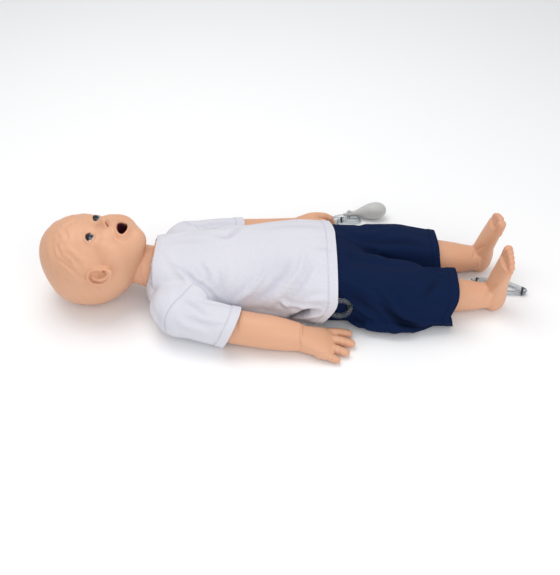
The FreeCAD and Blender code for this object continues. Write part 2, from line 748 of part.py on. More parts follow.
for side in (-1, 1):
    centre = Vector(hip_x, side * hip_y, hip_z)
    pelvis = pelvis.cut(Part.makeSphere(thigh_radius + cup_gap, centre))
    for share in (0.0, 0.34, 0.67, 1.0):
        angle = math.radians(share * (hip_lift_deg + 1))
        reach = centre.add(Vector(120 * math.cos(angle), 0, 120 * math.sin(angle)))
        pelvis = pelvis.cut(cylinder(thigh_radius + cup_gap, centre, reach))
pelvis = pelvis.cut(cylinder(hip_axle_radius, Vector(hip_x, -60, hip_z), Vector(hip_x, 60, hip_z)))
drain_z = 12.0
drain_bore = cylinder(tube_radius + 0.1, Vector(web_end_x - 6, 0, drain_z), Vector(web_end_x + 5, 0, drain_z))
save(pelvis.cut(drain_bore), "pelvis")
axle_right_end = Vector(hip_x, -hip_axle_end_y, hip_z)
axle_left_end = Vector(hip_x, hip_axle_end_y, hip_z)
save(cylinder(hip_axle_radius, axle_right_end, axle_left_end), "hip_axle")

# Shorts
def shorts_loop(x, y, half_y, top, extra, folds, turn):
    """Wide cloth tube around a thigh, with soft flutes that run along the leg."""
    points = []
    count = 24
    middle = 0.44 * top
    for step in range(count):
        angle = 2 * math.pi * step / count
        wave = folds * math.cos(5 * angle + turn)
        across = (half_y + wave + extra) * signed_power(math.cos(angle), 0.85)
        if math.sin(angle) >= 0:
            up = (top - middle + wave + extra) * math.sin(angle)
        else:
            up = (middle + 2 + extra) * signed_power(math.sin(angle), 0.75)
        points.append(Vector(x, y + across, middle + up))
    return loop_through(points)


shorts_stations = [
    (web_end_x + 1, 44.6, 39.4, 86.0, 0.0, 0.0),
    (180.0, 45.0, 39.6, 86.5, 0.4, 0.4),
    (208.0, 49.0, 43.0, 85.0, 1.4, 0.9),
    (245.0, 52.0, 45.5, 81.0, 1.8, 1.5),
    (286.0, 50.5, 44.0, 77.0, 2.0, 2.1),
    (shorts_hem_x, 50.0, 43.5, 75.0, 2.2, 2.6),
]


def shorts_form(extra, end_room, floor):
    """The cloth tube's form, moved outward by extra and longer by the room at each end."""
    loops = []
    for x, y, half_y, top, folds, turn in shorts_stations:
        if x == shorts_stations[0][0]:
            x = x - end_room
        if x == shorts_stations[-1][0]:
            x = x + end_room
        loops.append(shorts_loop(x, y, half_y, top, extra, folds, turn))
    return loft(loops).common(slab(-400, 400, floor, 300))


shorts_leg_left = shorts_form(0.0, 0.0, 0.0).cut(shorts_form(-cloth, 1.0, cloth))
save(shorts_leg_left, "shorts_leg_left")
save(mirrored(shorts_leg_left), "shorts_leg_right")
shorts_hip = trunk_tube(shorts_ease, shorts_ease, cloth, waist_x, web_end_x,
                        shorts_ease, shorts_ease + cloth)
save(shorts_hip, "shorts_hip")

# Breastbone plate on its spring
seat_z = shell_floor_z
seat_height = 3.0
rim_inner = spring_radius + spring_wire / 2 + 0.6
rim_outer = rim_inner + 3
seat_low = Vector(press_x, 0, seat_z)
seat_face = Vector(press_x, 0, seat_z + seat_height)
seat_top = Vector(press_x, 0, seat_z + seat_height + seat_rim)
save(cylinder(rim_outer, seat_low, seat_top).cut(cylinder(rim_inner, seat_face, seat_top)), "spring_seat")

plate = box(press_x - plate_length / 2, press_x + plate_length / 2, -plate_width / 2, plate_width / 2,
            plate_bottom_z, plate_bottom_z + plate_thickness)
plate = plate.makeFillet(12.0, [edge for edge in plate.Edges if abs(edge.tangentAt(0).z) > 0.9])
plate_under = Vector(press_x, 0, plate_bottom_z)
plate = plate.fuse(cylinder(rim_outer, Vector(press_x, 0, plate_bottom_z - seat_rim), plate_under))
plate = plate.cut(cylinder(rim_inner, Vector(press_x, 0, 0), plate_under))
save(plate, "breastbone_plate")

spring_low = seat_z + seat_height + spring_wire / 2
spring_high = plate_bottom_z - spring_wire / 2
pitch = (spring_high - spring_low) / spring_turns
helix = Part.makeHelix(pitch, spring_high - spring_low, spring_radius)
ring = Part.Wire([Part.makeCircle(spring_wire / 2, Vector(spring_radius, 0, 0), Y_AXIS)])
spring = Part.Wire(helix).makePipeShell([ring], True, True)
spring.translate(Vector(press_x, 0, spring_low))
save(spring, "compression_spring")

lung_bottom = plate_bottom_z + plate_thickness + soft_gap
lung_margin = 4.0
lung_half_length = plate_length / 2 - lung_margin
lung_half_width = plate_width / 2 - lung_margin
lung = box(press_x - lung_half_length, press_x + lung_half_length, -lung_half_width, lung_half_width,
           lung_bottom, lung_bottom + lung_thickness)
lung = lung.makeFillet(10.0, [edge for edge in lung.Edges if abs(edge.tangentAt(0).z) > 0.9])
lung = lung.makeFillet(3.5, [edge for edge in lung.Edges if abs(edge.tangentAt(0).z) < 0.1])
save(lung, "lung_bag")

# Squeeze bulb with its valve
bulb_axis = Vector(40.0, -1.0, 7.1).normalize()


def bulb_profile(half_widths):
    """Turned solid along +X from (place, radius) pairs, with a round far end."""
    curve = Part.BSplineCurve()
    curve.interpolate([Vector(place, radius, 0) for place, radius in half_widths])
    first = Vector(half_widths[0][0], 0, 0)
    last = Vector(half_widths[-1][0], 0, 0)
    outline = Part.Wire([
        Part.makeLine(first, Vector(half_widths[0][0], half_widths[0][1], 0)),
        curve.toShape(),
        Part.makeLine(last, first),
    ])
    return Part.Face(outline).revolve(Vector(0, 0, 0), X_AXIS, 360)


def along_bulb(shape):
    shape.Placement = FreeCAD.Placement(bulb_neck, FreeCAD.Rotation(X_AXIS, bulb_axis))
    return shape


bulb = bulb_profile([
    (0.0, bulb_neck_radius), (6.0, 5.2), (18.0, 10.0), (31.0, 14.3),
    (42.0, bulb_radius), (52.0, 12.2), (58.5, 6.0), (bulb_length, 0.0),
])
save(along_bulb(bulb), "squeeze_bulb")
valve_end = Vector(-valve_length, 0, 0)
valve_middle = Vector(-valve_length / 2, 0, 0)
valve = cylinder(bulb_neck_radius + 0.8, valve_end, Vector(0, 0, 0))
valve = valve.fuse(cylinder(bulb_neck_radius - 1.6, Vector(-valve_length - spigot_length, 0, 0), valve_end))
valve = valve.fuse(cylinder(1.8, valve_middle, valve_middle.add(Vector(0, 0, 7.5))))
save(along_bulb(valve), "bulb_valve")
spigot_end = bulb_neck.sub(Vector(bulb_axis).multiply(valve_length + spigot_length + soft_gap / 2))

# Hank of tubing behind the left hand, with its tie
hank_centre = Vector(182.0, 185.0, 4.4)
hank_axis = Vector(1, 0, 0)
hank_stations = [
    (-31.0, 3.0, 2.0), (-27.0, 5.5, 3.2), (-18.0, 5.6, 3.4), (-8.5, 4.4, 3.1), (2.0, 6.5, 3.5),
    (14.0, 7.6, 3.6), (23.0, 6.0, 3.2), (28.0, 3.0, 2.0),
]
save(bundle(hank_stations, hank_centre, hank_axis), "tube_hank")
save(bundle_tie(hank_stations[3], hank_centre, hank_axis, tie_width, tie_thickness), "hank_tie")

bulb_route = [
    spigot_end,
    spigot_end.sub(Vector(bulb_axis).multiply(10.0)),
    Vector(160.0, 194.6, 3.4),
    Vector(155.5, 188.5, 3.4),
]
save(cord_tube(bulb_route, tube_radius), "bulb_tube")
left_route = [
    Vector(port_x, 77, port_z),
    Vector(port_x, 85.6, port_z),
    Vector(111, 87, 34),
    Vector(127, 88.6, 31),
    Vector(143, 88.4, 25),
    Vector(157, 95, 16),
    Vector(168, 107, 8),
    Vector(174, 120, 3.2),
    Vector(176, 135, 2.0),
    Vector(175, 150, 1.9),
    Vector(172, 164, 2.4),
    Vector(170, 181, 3.6),
]
save(cord_tube(left_route, tube_radius), "pulse_tube_left")

# Coil of tubing at the right waist, with its tie
coil_centre = Vector(coil_x, coil_y, coil_z)
save(Part.makeTorus(coil_radius, coil_bundle_radius, coil_centre, Y_AXIS), "waist_coil")
tie_angle = math.radians(18)
tie_place = coil_centre.add(Vector(coil_radius * math.cos(tie_angle), 0, coil_radius * math.sin(tie_angle)))
tie_along = Vector(-math.sin(tie_angle), 0, math.cos(tie_angle))
tie_start = tie_place.sub(Vector(tie_along).multiply(tie_width / 2))
tie_end = tie_place.add(Vector(tie_along).multiply(tie_width / 2))
waist_tie = cylinder(coil_bundle_radius + 1.0, tie_start, tie_end)
waist_tie = waist_tie.cut(Part.makeTorus(coil_radius, coil_bundle_radius + 0.2, coil_centre, Y_AXIS))
save(waist_tie, "waist_coil_tie")
right_route = [
    Vector(port_x, -77, port_z),
    Vector(port_x, -85.6, port_z),
    Vector(110, -87.0, 37),
    Vector(123, -88.2, 40.5),
    Vector(coil_x - coil_radius, coil_y, 46),
]
save(cord_tube(right_route, tube_radius), "pulse_tube_right")

# Hank of tubing between the feet, with two ties
foot_hank_centre = Vector(416.0, 6.0, 5.4)
foot_hank_axis = Vector(84.0, -28.0, 0).normalize()
foot_stations = [
    (-46.0, 3.0, 2.0), (-42.0, 6.6, 3.6), (-36.0, 6.0, 3.6), (-24.0, 10.5, 4.6), (-8.0, 13.0, 5.1),
    (10.0, 13.0, 5.1), (26.0, 10.8, 4.6), (37.0, 6.0, 3.6), (42.0, 5.6, 3.2), (46.0, 3.0, 1.8),
]
save(bundle(foot_stations, foot_hank_centre, foot_hank_axis), "foot_hank")
foot_ties = [bundle_tie(foot_stations[place], foot_hank_centre, foot_hank_axis, tie_width, tie_thickness)
             for place in (2, 7)]
save(Part.makeCompound(foot_ties), "foot_hank_ties")
foot_route = [
    Vector(web_end_x - 5, 0, drain_z),
    Vector(web_end_x + 6, 0, drain_z - 0.2),
    Vector(181, 0.3, 9.6),
    Vector(199, 0.6, 5.0),
    Vector(219, 0.4, 2.3),
    Vector(240, 0.0, 1.8),
    Vector(262, -0.6, 1.7),
    Vector(286, -1.0, 1.75),
    Vector(309, -0.8, 1.8),
    Vector(330, 0.6, 1.8),
    Vector(348, 4.2, 2.0),
    Vector(363, 10.5, 2.9),
    Vector(375.5, 19.0, 4.6),
]
save(cord_tube(foot_route, tube_radius), "drain_tube")
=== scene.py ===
# %% [markdown]
# # An infant resuscitation manikin, dressed and lying on its back
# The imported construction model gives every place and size. This lesson dresses it: soft vinyl skin,
# knitted shirt, woven shorts, clear tubing and a rubber bulb. Lengths are written in millimetres and
# turned into metres by `mm`, because the photograph's object is small enough to think of that way.

# %% Load the frame
import bpy
import bmesh
import json
import math
import numpy as np
from mathutils import Vector, Matrix
from mathutils.bvhtree import BVHTree
from mathutils.kdtree import KDTree

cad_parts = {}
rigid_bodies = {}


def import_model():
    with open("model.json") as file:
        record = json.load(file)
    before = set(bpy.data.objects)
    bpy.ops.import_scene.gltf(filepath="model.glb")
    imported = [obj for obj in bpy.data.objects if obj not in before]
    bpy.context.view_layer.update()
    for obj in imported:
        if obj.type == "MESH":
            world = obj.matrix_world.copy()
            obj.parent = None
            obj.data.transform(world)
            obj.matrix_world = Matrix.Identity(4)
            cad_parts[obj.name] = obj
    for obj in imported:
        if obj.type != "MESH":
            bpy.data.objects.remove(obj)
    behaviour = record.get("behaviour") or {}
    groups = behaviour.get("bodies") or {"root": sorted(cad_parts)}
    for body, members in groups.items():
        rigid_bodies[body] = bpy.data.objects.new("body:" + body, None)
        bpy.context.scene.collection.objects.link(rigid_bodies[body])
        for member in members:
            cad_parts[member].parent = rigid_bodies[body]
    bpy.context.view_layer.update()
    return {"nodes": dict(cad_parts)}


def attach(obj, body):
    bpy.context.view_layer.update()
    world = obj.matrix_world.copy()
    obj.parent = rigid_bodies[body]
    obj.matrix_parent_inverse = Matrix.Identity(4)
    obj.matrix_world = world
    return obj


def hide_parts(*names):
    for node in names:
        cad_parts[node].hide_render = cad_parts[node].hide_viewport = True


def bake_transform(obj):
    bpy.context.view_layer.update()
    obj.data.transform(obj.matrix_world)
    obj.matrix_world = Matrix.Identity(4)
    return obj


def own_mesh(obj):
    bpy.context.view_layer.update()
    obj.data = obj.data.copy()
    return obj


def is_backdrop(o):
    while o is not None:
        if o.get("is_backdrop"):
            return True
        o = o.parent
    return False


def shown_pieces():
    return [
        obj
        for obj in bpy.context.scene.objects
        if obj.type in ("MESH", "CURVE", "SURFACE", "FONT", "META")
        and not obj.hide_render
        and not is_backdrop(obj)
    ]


mm = 0.001
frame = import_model()
nodes = frame["nodes"]
scene = bpy.context.scene

# %% [markdown]
# ## Camera, floor and light
# The picture was taken from the manikin's right side, looking about 42 degrees down, with a long lens.
# Placing a camera by azimuth, elevation and distance round a target point keeps those three numbers
# readable; the lens then follows from how large the manikin stands in the frame.

# %% Camera
azimuth, elevation, camera_distance = math.radians(-0.18), math.radians(42.2), 1242
target = Vector((63.4, 0, 8.9)) * mm
back = Vector((math.sin(azimuth) * math.cos(elevation), -math.cos(azimuth) * math.cos(elevation),
               math.sin(elevation)))
camera = bpy.data.objects.new("camera", bpy.data.cameras.new("camera"))
camera.data.lens = 48.5
camera.data.sensor_width = 36
camera.location = target + back * camera_distance * mm
camera.rotation_mode = "QUATERNION"
camera.rotation_quaternion = (-back).to_track_quat("-Z", "Y")
scene.collection.objects.link(camera)
scene.camera = camera
print("camera at", [round(v, 3) for v in camera.location])

# %% Floor and lights
world = bpy.data.worlds.new("studio")
scene.world = world
world.use_nodes = True
world.node_tree.nodes["Background"].inputs["Color"].default_value = (0.97, 0.98, 1.0, 1)
world.node_tree.nodes["Background"].inputs["Strength"].default_value = 0.63
scene.view_settings.view_transform = "Standard"


def soft_light(name, place, size, power, colour):
    """A large square area light aimed at the middle of the manikin."""
    light = bpy.data.lights.new(name, "AREA")
    light.size = size
    light.energy = power
    light.color = colour
    lamp = bpy.data.objects.new(name, light)
    lamp.location = place
    lamp.rotation_mode = "QUATERNION"
    lamp.rotation_quaternion = (target - Vector(place)).to_track_quat("-Z", "Y")
    scene.collection.objects.link(lamp)


soft_light("key_light", (-0.25, 0.35, 1.55), 1.1, 11, (1.0, 0.985, 0.96))
soft_light("fill_light", (0.5, -1.25, 0.9), 1.4, 9, (0.985, 0.99, 1.0))

# %% [markdown]
# ## Small helpers for shapes
# Most pieces start as rings of points. `bmesh.ops.create_circle` makes a ring, its points are moved to
# the section that the body has there, and `bridge_loops` skins one ring to the next. That is how a
# sock-like form is drawn by hand, and it keeps quads in tidy rows for folds and hems.

# %% Helpers for shapes
def new_piece(bm, name):
    """An object from a bmesh as it is, linked into the scene."""
    mesh = bpy.data.meshes.new(name)
    bm.to_mesh(mesh)
    bm.free()
    piece = bpy.data.objects.new(name, mesh)
    scene.collection.objects.link(piece)
    return piece


def shade_smooth(piece):
    piece.data.polygons.foreach_set("use_smooth", [True] * len(piece.data.polygons))


def piece_from(bm, name):
    """A smooth-shaded object from a bmesh whose faces are turned to look outwards."""
    bmesh.ops.recalc_face_normals(bm, faces=bm.faces[:])
    piece = new_piece(bm, name)
    shade_smooth(piece)
    return piece


def opened(piece):
    """The piece's mesh as a bmesh, to be cut."""
    bm = bmesh.new()
    bm.from_mesh(piece.data)
    return bm


def write_back(bm, piece):
    bm.to_mesh(piece.data)
    bm.free()


def points_of(piece):
    """The mesh's points as rows of x, y, z in millimetres."""
    flat = np.zeros(len(piece.data.vertices) * 3, np.float32)
    piece.data.vertices.foreach_get("co", flat)
    return flat.reshape(-1, 3).astype(float) / mm


def move_points(piece, points):
    piece.data.vertices.foreach_set("co", (points * mm).astype(np.float32).ravel())
    piece.data.update()


def normals_of(piece):
    flat = np.zeros(len(piece.data.vertices) * 3, np.float32)
    piece.data.vertices.foreach_get("normal", flat)
    return flat.reshape(-1, 3).astype(float)


def ring_angles(count):
    """Evenly spaced angles round one turn, in radians."""
    return np.linspace(0, 2 * math.pi, count, endpoint=False)


def smooth_step(values, low, high):
    """0 below low and 1 above high, with an even S between them."""
    t = np.clip((values - low) / (high - low), 0, 1)
    return t * t * (3 - 2 * t)


def smooth_rows(rows, count):
    """Stations between the given ones on a smooth curve through them, so that few numbers draw a long form."""
    rows = np.array(rows, float)
    padded = np.vstack([2 * rows[0] - rows[1], rows, 2 * rows[-1] - rows[-2]])
    out = []
    for place in np.linspace(0, len(rows) - 1, count):
        i = min(int(place), len(rows) - 2)
        t = place - i
        a, b, c, d = padded[i:i + 4]
        out.append(0.5 * (2 * b + (c - a) * t + (2 * a - 5 * b + 4 * c - d) * t * t
                          + (3 * b - a - 3 * c + d) * t ** 3))
    return np.array(out)


def add_rings(bm, rings, closed_ends=True):
    """Skins rings of points, given in millimetres, one to the next."""
    loops = []
    for ring in rings:
        verts = bmesh.ops.create_circle(bm, segments=len(ring), radius=1)["verts"]
        for vert, point in zip(verts, ring):
            vert.co = Vector(point) * mm
        loops.append((verts, list({e for v in verts for e in v.link_edges})))
    for (_, first), (_, second) in zip(loops, loops[1:]):
        bmesh.ops.bridge_loops(bm, edges=first + second)
    if closed_ends:
        for verts, _ in (loops[0], loops[-1]):
            bmesh.ops.contextual_create(bm, geom=verts)
    return loops


def add_ball(bm, centre, radii, turn=None, detail=4):
    """An ellipsoid, given in millimetres; turn is a rotation about its centre."""
    ball = bmesh.ops.create_icosphere(bm, subdivisions=detail, radius=1)["verts"]
    spin = turn.to_4x4() if turn else Matrix.Identity(4)
    place = Matrix.Translation(Vector(centre) * mm) @ spin @ Matrix.Diagonal([r * mm for r in radii] + [1])
    bmesh.ops.transform(bm, matrix=place, verts=ball)


def add_limb(bm, start, end, start_radius, end_radius, segments=20, rows=12):
    """A round-tipped taper between two points: a finger, a toe or part of a limb."""
    start, end = Vector(start), Vector(end)
    along = (end - start).normalized()
    side = along.orthogonal().normalized()
    other = along.cross(side)
    places = []
    for turn in np.linspace(0.15, math.pi / 2, 5):
        places.append((start - along * start_radius * math.cos(turn), start_radius * math.sin(turn)))
    for share in np.linspace(0, 1, rows)[1:-1]:
        places.append((start.lerp(end, share), start_radius + (end_radius - start_radius) * share))
    for turn in np.linspace(math.pi / 2, 0.15, 5):
        places.append((end + along * end_radius * math.cos(turn), end_radius * math.sin(turn)))
    rings = []
    for centre, radius in places:
        rings.append([centre + side * radius * math.cos(a) + other * radius * math.sin(a)
                      for a in ring_angles(segments)])
    add_rings(bm, rings)


def remesh(piece, voxel, smooth_times=2):
    """Joins the overlapping forms into one even skin and softens the places where they met."""
    modifier = piece.modifiers.new("skin", "REMESH")
    modifier.mode = "VOXEL"
    modifier.voxel_size = voxel * mm
    modifier.use_smooth_shade = True
    bpy.context.view_layer.update()
    joined = bpy.data.meshes.new_from_object(piece.evaluated_get(bpy.context.evaluated_depsgraph_get()))
    piece.modifiers.clear()
    old = piece.data
    piece.data = joined
    bpy.data.meshes.remove(old)
    soften(piece, smooth_times)
    print(piece.name, "points", len(piece.data.vertices))


def soften(piece, times, strength=0.5, share=None, keep_size=True):
    """Moves each point towards the middle of its neighbours; share, 0 to 1 per point, holds some back."""
    pairs = np.zeros(len(piece.data.edges) * 2, np.int64)
    piece.data.edges.foreach_get("vertices", pairs)
    a, b = pairs.reshape(-1, 2).T
    points = points_of(piece)
    count = np.bincount(np.concatenate([a, b]), minlength=len(points)).astype(float)[:, None]
    hold = 1.0 if share is None else share[:, None]
    for _ in range(times):
        for step in (strength, -strength * 1.04) if keep_size else (strength,):
            total = np.zeros_like(points)
            for axis in range(3):
                total[:, axis] = np.bincount(a, points[b, axis], len(points))
                total[:, axis] += np.bincount(b, points[a, axis], len(points))
            points += (total / np.maximum(count, 1) - points) * step * hold
    move_points(piece, points)


def bump(points, centre, radii, turn=0.0):
    """1 at the centre of an ellipsoid, falling smoothly to 0 well outside it. Turn is about Y, in degrees."""
    d = points - np.array(centre, float)
    if turn:
        c, s = math.cos(math.radians(turn)), math.sin(math.radians(turn))
        d = np.stack([d[:, 0] * c - d[:, 2] * s, d[:, 1], d[:, 0] * s + d[:, 2] * c], axis=1)
    return np.exp(-np.sum((d / np.array(radii, float)) ** 2, axis=1))


def line_near(points, start, end):
    """How far each point lies from a straight stroke, and how far along the stroke it is, 0 to 1."""
    start, end = np.array(start, float), np.array(end, float)
    along = end - start
    share = np.clip((points - start) @ along / (along @ along), 0, 1)
    return np.linalg.norm(points - start - share[:, None] * along, axis=1), share


def fold(piece, folds):
    """Lays folds on a cloth. Each is (points, width, height): the line is dropped onto the nearest cloth, and over
    it stands a ridge, or with a height under zero a valley, with a weaker one of the other sign on each side."""
    p, n = points_of(piece), normals_of(piece)
    tree = KDTree(len(p))
    for index, point in enumerate(p):
        tree.insert(point, index)
    tree.balance()
    push, shadow = np.zeros(len(p)), np.zeros(len(p))
    for line, width, height in folds:
        line = smooth_rows(line, len(line) * 4) if len(line) > 2 else np.linspace(line[0], line[1], 10)
        laid = np.array([tree.find(row)[0] for row in line])
        near = np.where(np.all((p > laid.min(0) - 3.4 * width) & (p < laid.max(0) + 3.4 * width), axis=1))[0]
        best, place = np.full(len(near), 1e6), np.zeros(len(near))
        for k, (start, end) in enumerate(zip(laid, laid[1:])):
            if np.linalg.norm(end - start) > 0.05:
                away, share = line_near(p[near], start, end)
                closer = away < best
                best[closer], place[closer] = away[closer], (k + share[closer]) / (len(laid) - 1)
        fade = np.sin(math.pi * np.clip(place, 0.03, 0.97)) ** 0.55
        crest = np.exp(-(best / width) ** 2)
        push[near] += height * fade * (crest - 0.36 * np.exp(-((best - 1.9 * width) / width) ** 2))
        if height < 0:
            shadow[near] = np.maximum(shadow[near], fade * crest * min(1, -height / 4))
    move_points(piece, p + n * push[:, None])
    return shadow


def paint(piece, name, values):
    """Stores a number from 0 to 1 at each point, for a material to read."""
    layer = piece.data.attributes.get(name) or piece.data.attributes.new(name, "FLOAT", "POINT")
    layer.data.foreach_set("value", np.clip(values, 0, 1).astype(np.float32))


# %% [markdown]
# ## Shader maths in plain expressions
# A node graph of sums and products is hard to read back. `Value` wraps one output socket and overloads
# the operators, so that `fuzz * 0.12 + 0.80` adds the Math nodes itself. Everything else goes through one
# method, `node`, which takes a node's type, its settings and its inputs.

# %% Shader helpers
class Value:
    """A number that varies over the surface."""

    def __init__(self, finish, socket):
        self.finish, self.socket = finish, socket

    def _op(self, operation, *others):
        return self.finish.node("ShaderNodeMath", {"operation": operation}, dict(enumerate(others)))

    def __add__(self, other):
        return self._op("ADD", self, other)

    def __sub__(self, other):
        return self._op("SUBTRACT", self, other)

    def __mul__(self, other):
        return self._op("MULTIPLY", self, other)

    def ramp(self, low, high):
        return self.finish.node("ShaderNodeMapRange", {}, {"Value": self, "From Min": low, "From Max": high})


class Finish:
    """A material: its node tree, its shader and the few calls that feed it."""

    def __init__(self, name, colour, roughness, **constants):
        self.material = bpy.data.materials.new(name)
        self.material.use_nodes = True
        self.material.diffuse_color = (*colour, 1)
        self.tree = self.material.node_tree
        self.shader = self.tree.nodes["Principled BSDF"]
        self.shader.inputs["Base Color"].default_value = (*colour, 1)
        self.shader.inputs["Roughness"].default_value = roughness
        for key, value in constants.items():
            self.shader.inputs[key.replace("_", " ")].default_value = value
        self.place = self.node("ShaderNodeTexCoord", {}, {}, "Object")

    def node(self, kind, settings, inputs, output=0):
        made = self.tree.nodes.new(kind)
        for key, value in settings.items():
            setattr(made, key, value)
        for key, value in inputs.items():
            socket = made.inputs[key]
            if isinstance(value, Value):
                self.tree.links.new(value.socket, socket)
            else:
                socket.default_value = value
        return Value(self, made.outputs[output])

    def stretched(self, scale):
        return self.node("ShaderNodeMapping", {}, {"Vector": self.place, "Scale": scale})

    def noise(self, scale, detail, vector=None):
        return self.node("ShaderNodeTexNoise", {}, {"Vector": vector or self.place, "Scale": scale, "Detail": detail})

    def wave(self, scale, direction, distortion):
        return self.node("ShaderNodeTexWave", {"wave_type": "BANDS", "bands_direction": direction},
                         {"Vector": self.place, "Scale": scale, "Distortion": distortion, "Detail": 1.0}, 1)

    def attribute(self, name):
        return self.node("ShaderNodeAttribute", {"attribute_name": name}, {}, "Fac")

    def mix(self, share, first, second):
        first, second = [c if isinstance(c, Value) else (*c, 1) for c in (first, second)]
        return self.node("ShaderNodeMix", {"data_type": "RGBA"}, {0: share, 6: first, 7: second}, 2)

    def colour(self, value):
        self.tree.links.new(value.socket, self.shader.inputs["Base Color"])

    def roughness(self, value):
        self.tree.links.new(value.socket, self.shader.inputs["Roughness"])

    def relief(self, height, depth, strength=1.0):
        """Bump from a height of 0 to 1, depth in millimetres."""
        normal = self.node("ShaderNodeBump", {}, {"Height": height, "Distance": depth * mm, "Strength": strength},
                           "Normal")
        self.tree.links.new(normal.socket, self.shader.inputs["Normal"])

    def on(self, *pieces):
        for piece in pieces:
            piece.data.materials.clear()
            piece.data.materials.append(self.material)


# %% [markdown]
# ## Clear tubing
# The tubing is soft clear PVC about 3 mm thick. Each run is one NURBS curve whose control points are
# the construction route's own points, so it bends as smoothly as a real hose. The hanks are more points
# of the same curve: the tube goes round and round in them, and nothing ends inside.

# %% Clear tube finish
clear_tube = Finish("clear_tube", (0.66, 0.70, 0.72), 0.08, Transmission_Weight=0.95, IOR=1.22)
cloudy = clear_tube.noise(900, 2)
clear_tube.colour(clear_tube.mix(cloudy, (0.62, 0.66, 0.69), (0.74, 0.78, 0.80)))
clear_tube.roughness(cloudy * 0.06 + 0.05)

tube_diameter = 3.2


def tube_curve(name, points, replaced):
    """A tube on the torso along smooth NURBS points in millimetres."""
    curve = bpy.data.curves.new(name, "CURVE")
    curve.dimensions = "3D"
    curve.bevel_depth = tube_diameter / 2 * mm
    curve.bevel_resolution = 4
    spline = curve.splines.new("NURBS")
    spline.points.add(len(points) - 1)
    for place, point in zip(spline.points, points):
        place.co = (*(Vector(point) * mm), 1)
    spline.order_u = 3
    spline.use_endpoint_u = True
    spline.resolution_u = 6
    curve.use_fill_caps = True
    tube = bpy.data.objects.new(name, curve)
    scene.collection.objects.link(tube)
    tube.data.materials.append(clear_tube.material)
    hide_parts(*replaced)
    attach(tube, "torso")


def oval_turn(centre, axis, stations, heights, reach):
    """One turn of a hank: out along one side, round the end and back along the other.

    Stations are (along, half width) pairs; heights are the tube's height on the way out and back."""
    axis = Vector(axis).normalized()
    across = Vector((-axis.y, axis.x, 0))
    centre = Vector(centre)
    out = [centre + axis * s + across * w + Vector((0, 0, heights[0] - centre.z)) for s, w in stations]
    last, first = stations[-1], stations[0]
    end = [centre + axis * (last[0] + reach * 0.72) + across * last[1] * 0.86 + Vector((0, 0, heights[0] - centre.z)),
           centre + axis * (last[0] + reach) + Vector((0, 0, (heights[0] + heights[1]) / 2 - centre.z)),
           centre + axis * (last[0] + reach * 0.72) - across * last[1] * 0.86 + Vector((0, 0, heights[1] - centre.z))]
    home = [centre + axis * s - across * w + Vector((0, 0, heights[1] - centre.z)) for s, w in reversed(stations)]
    start = [centre + axis * (first[0] - reach * 0.72) - across * first[1] * 0.86
             + Vector((0, 0, heights[1] - centre.z)),
             centre + axis * (first[0] - reach) + Vector((0, 0, (heights[0] + heights[1]) / 2 - centre.z))]
    return out + end + home + start


# %% Left tube: from the port, under the hand, through its hank and into the bulb's valve
bulb_neck = Vector((194.0, 197.0, 8.8))
bulb_axis = Vector((40.0, -1.0, 7.1)).normalized()
spigot_end = bulb_neck - bulb_axis * 17.15
left_route = [(98, 77, 36), (98, 85.6, 36), (111, 87, 34), (127, 88.6, 31), (143, 88.4, 25), (157, 95, 16),
              (168, 107, 8), (174, 120, 3.2), (176, 135, 2.0), (175, 150, 1.9), (172, 164, 2.4)]
hank_low = [(-20, 6.0), (-14, 4.6), (-8.5, 3.0), (-3, 4.2), (4, 6.4), (12, 7.2), (17, 6.8)]
hank_middle, hank_way = (182, 185, 4.4), (1, 0, 0)
left_hank = [(165, 174, 1.9)] + oval_turn(hank_middle, hank_way, hank_low, (2.6, 2.6), 8.5)[1:]
left_hank += oval_turn(hank_middle, hank_way, [(s - 1.5, w * 0.93) for s, w in hank_low], (6.0, 6.0), 8.0)
left_end = [(155.5, 188.5, 3.4), (160.0, 194.6, 3.4), tuple(spigot_end - bulb_axis * 10), tuple(spigot_end)]
left_tube = left_route + left_hank + left_end

# %% Right tube: from the port up under the shirt hem into a round coil at the waist
coil_centre = Vector((152.0, -89.2, 48.0))
coil_laps, steps_a_lap = 4, 16
coil_turns = []
for step in range(steps_a_lap * coil_laps):
    turn, lap = math.pi - step * 2 * math.pi / steps_a_lap, step / steps_a_lap
    radius = 15.9 + 1.6 * np.interp(lap, [0.37, 0.53, 2.37, 2.53], [1, -1, -1, 1])
    side = 1.6 * np.interp(lap, [1.37, 1.53, 3.37, 3.53], [-1, 1, 1, -1])
    coil_turns.append(coil_centre + Vector((radius * math.cos(turn), side, radius * math.sin(turn))))
right_route = [(98, -77, 36), (98, -85.6, 36), (110, -87, 37), (123, -88.2, 40.5), (133, -89.4, 45.0)]
right_tube = right_route + coil_turns

# %% Drain tube: from the crotch along the floor between the legs into an oval hank at the feet
drain_route = [(156, 0, 12), (167, 0, 11.8), (181, 0.3, 9.6), (199, 0.6, 5), (219, 0.4, 2.3), (240, 0, 1.8),
               (262, -0.6, 1.7), (286, -1, 1.75), (309, -0.8, 1.8), (330, 0.6, 1.8), (348, 4.2, 2), (363, 10.5, 2.2)]
foot_low = [(-36, 5.0), (-30, 7.2), (-20, 9.8), (-6, 11.2), (8, 11.2), (20, 9.6), (30, 6.6), (36, 5.0)]
foot_middle, foot_way = (416, 6, 5.4), (84, -28, 0)
foot_hank = []
for lap, (grow, height) in enumerate(((1.0, 1.7), (0.86, 4.9), (1.02, 8.1))):
    stations = [(s * (0.97 + 0.015 * lap), w * grow) for s, w in foot_low]
    foot_hank += oval_turn(foot_middle, foot_way, stations, (height, height), 7.5)
drain_tube = drain_route + foot_hank
print("control points:", len(left_tube), len(right_tube), len(drain_tube))

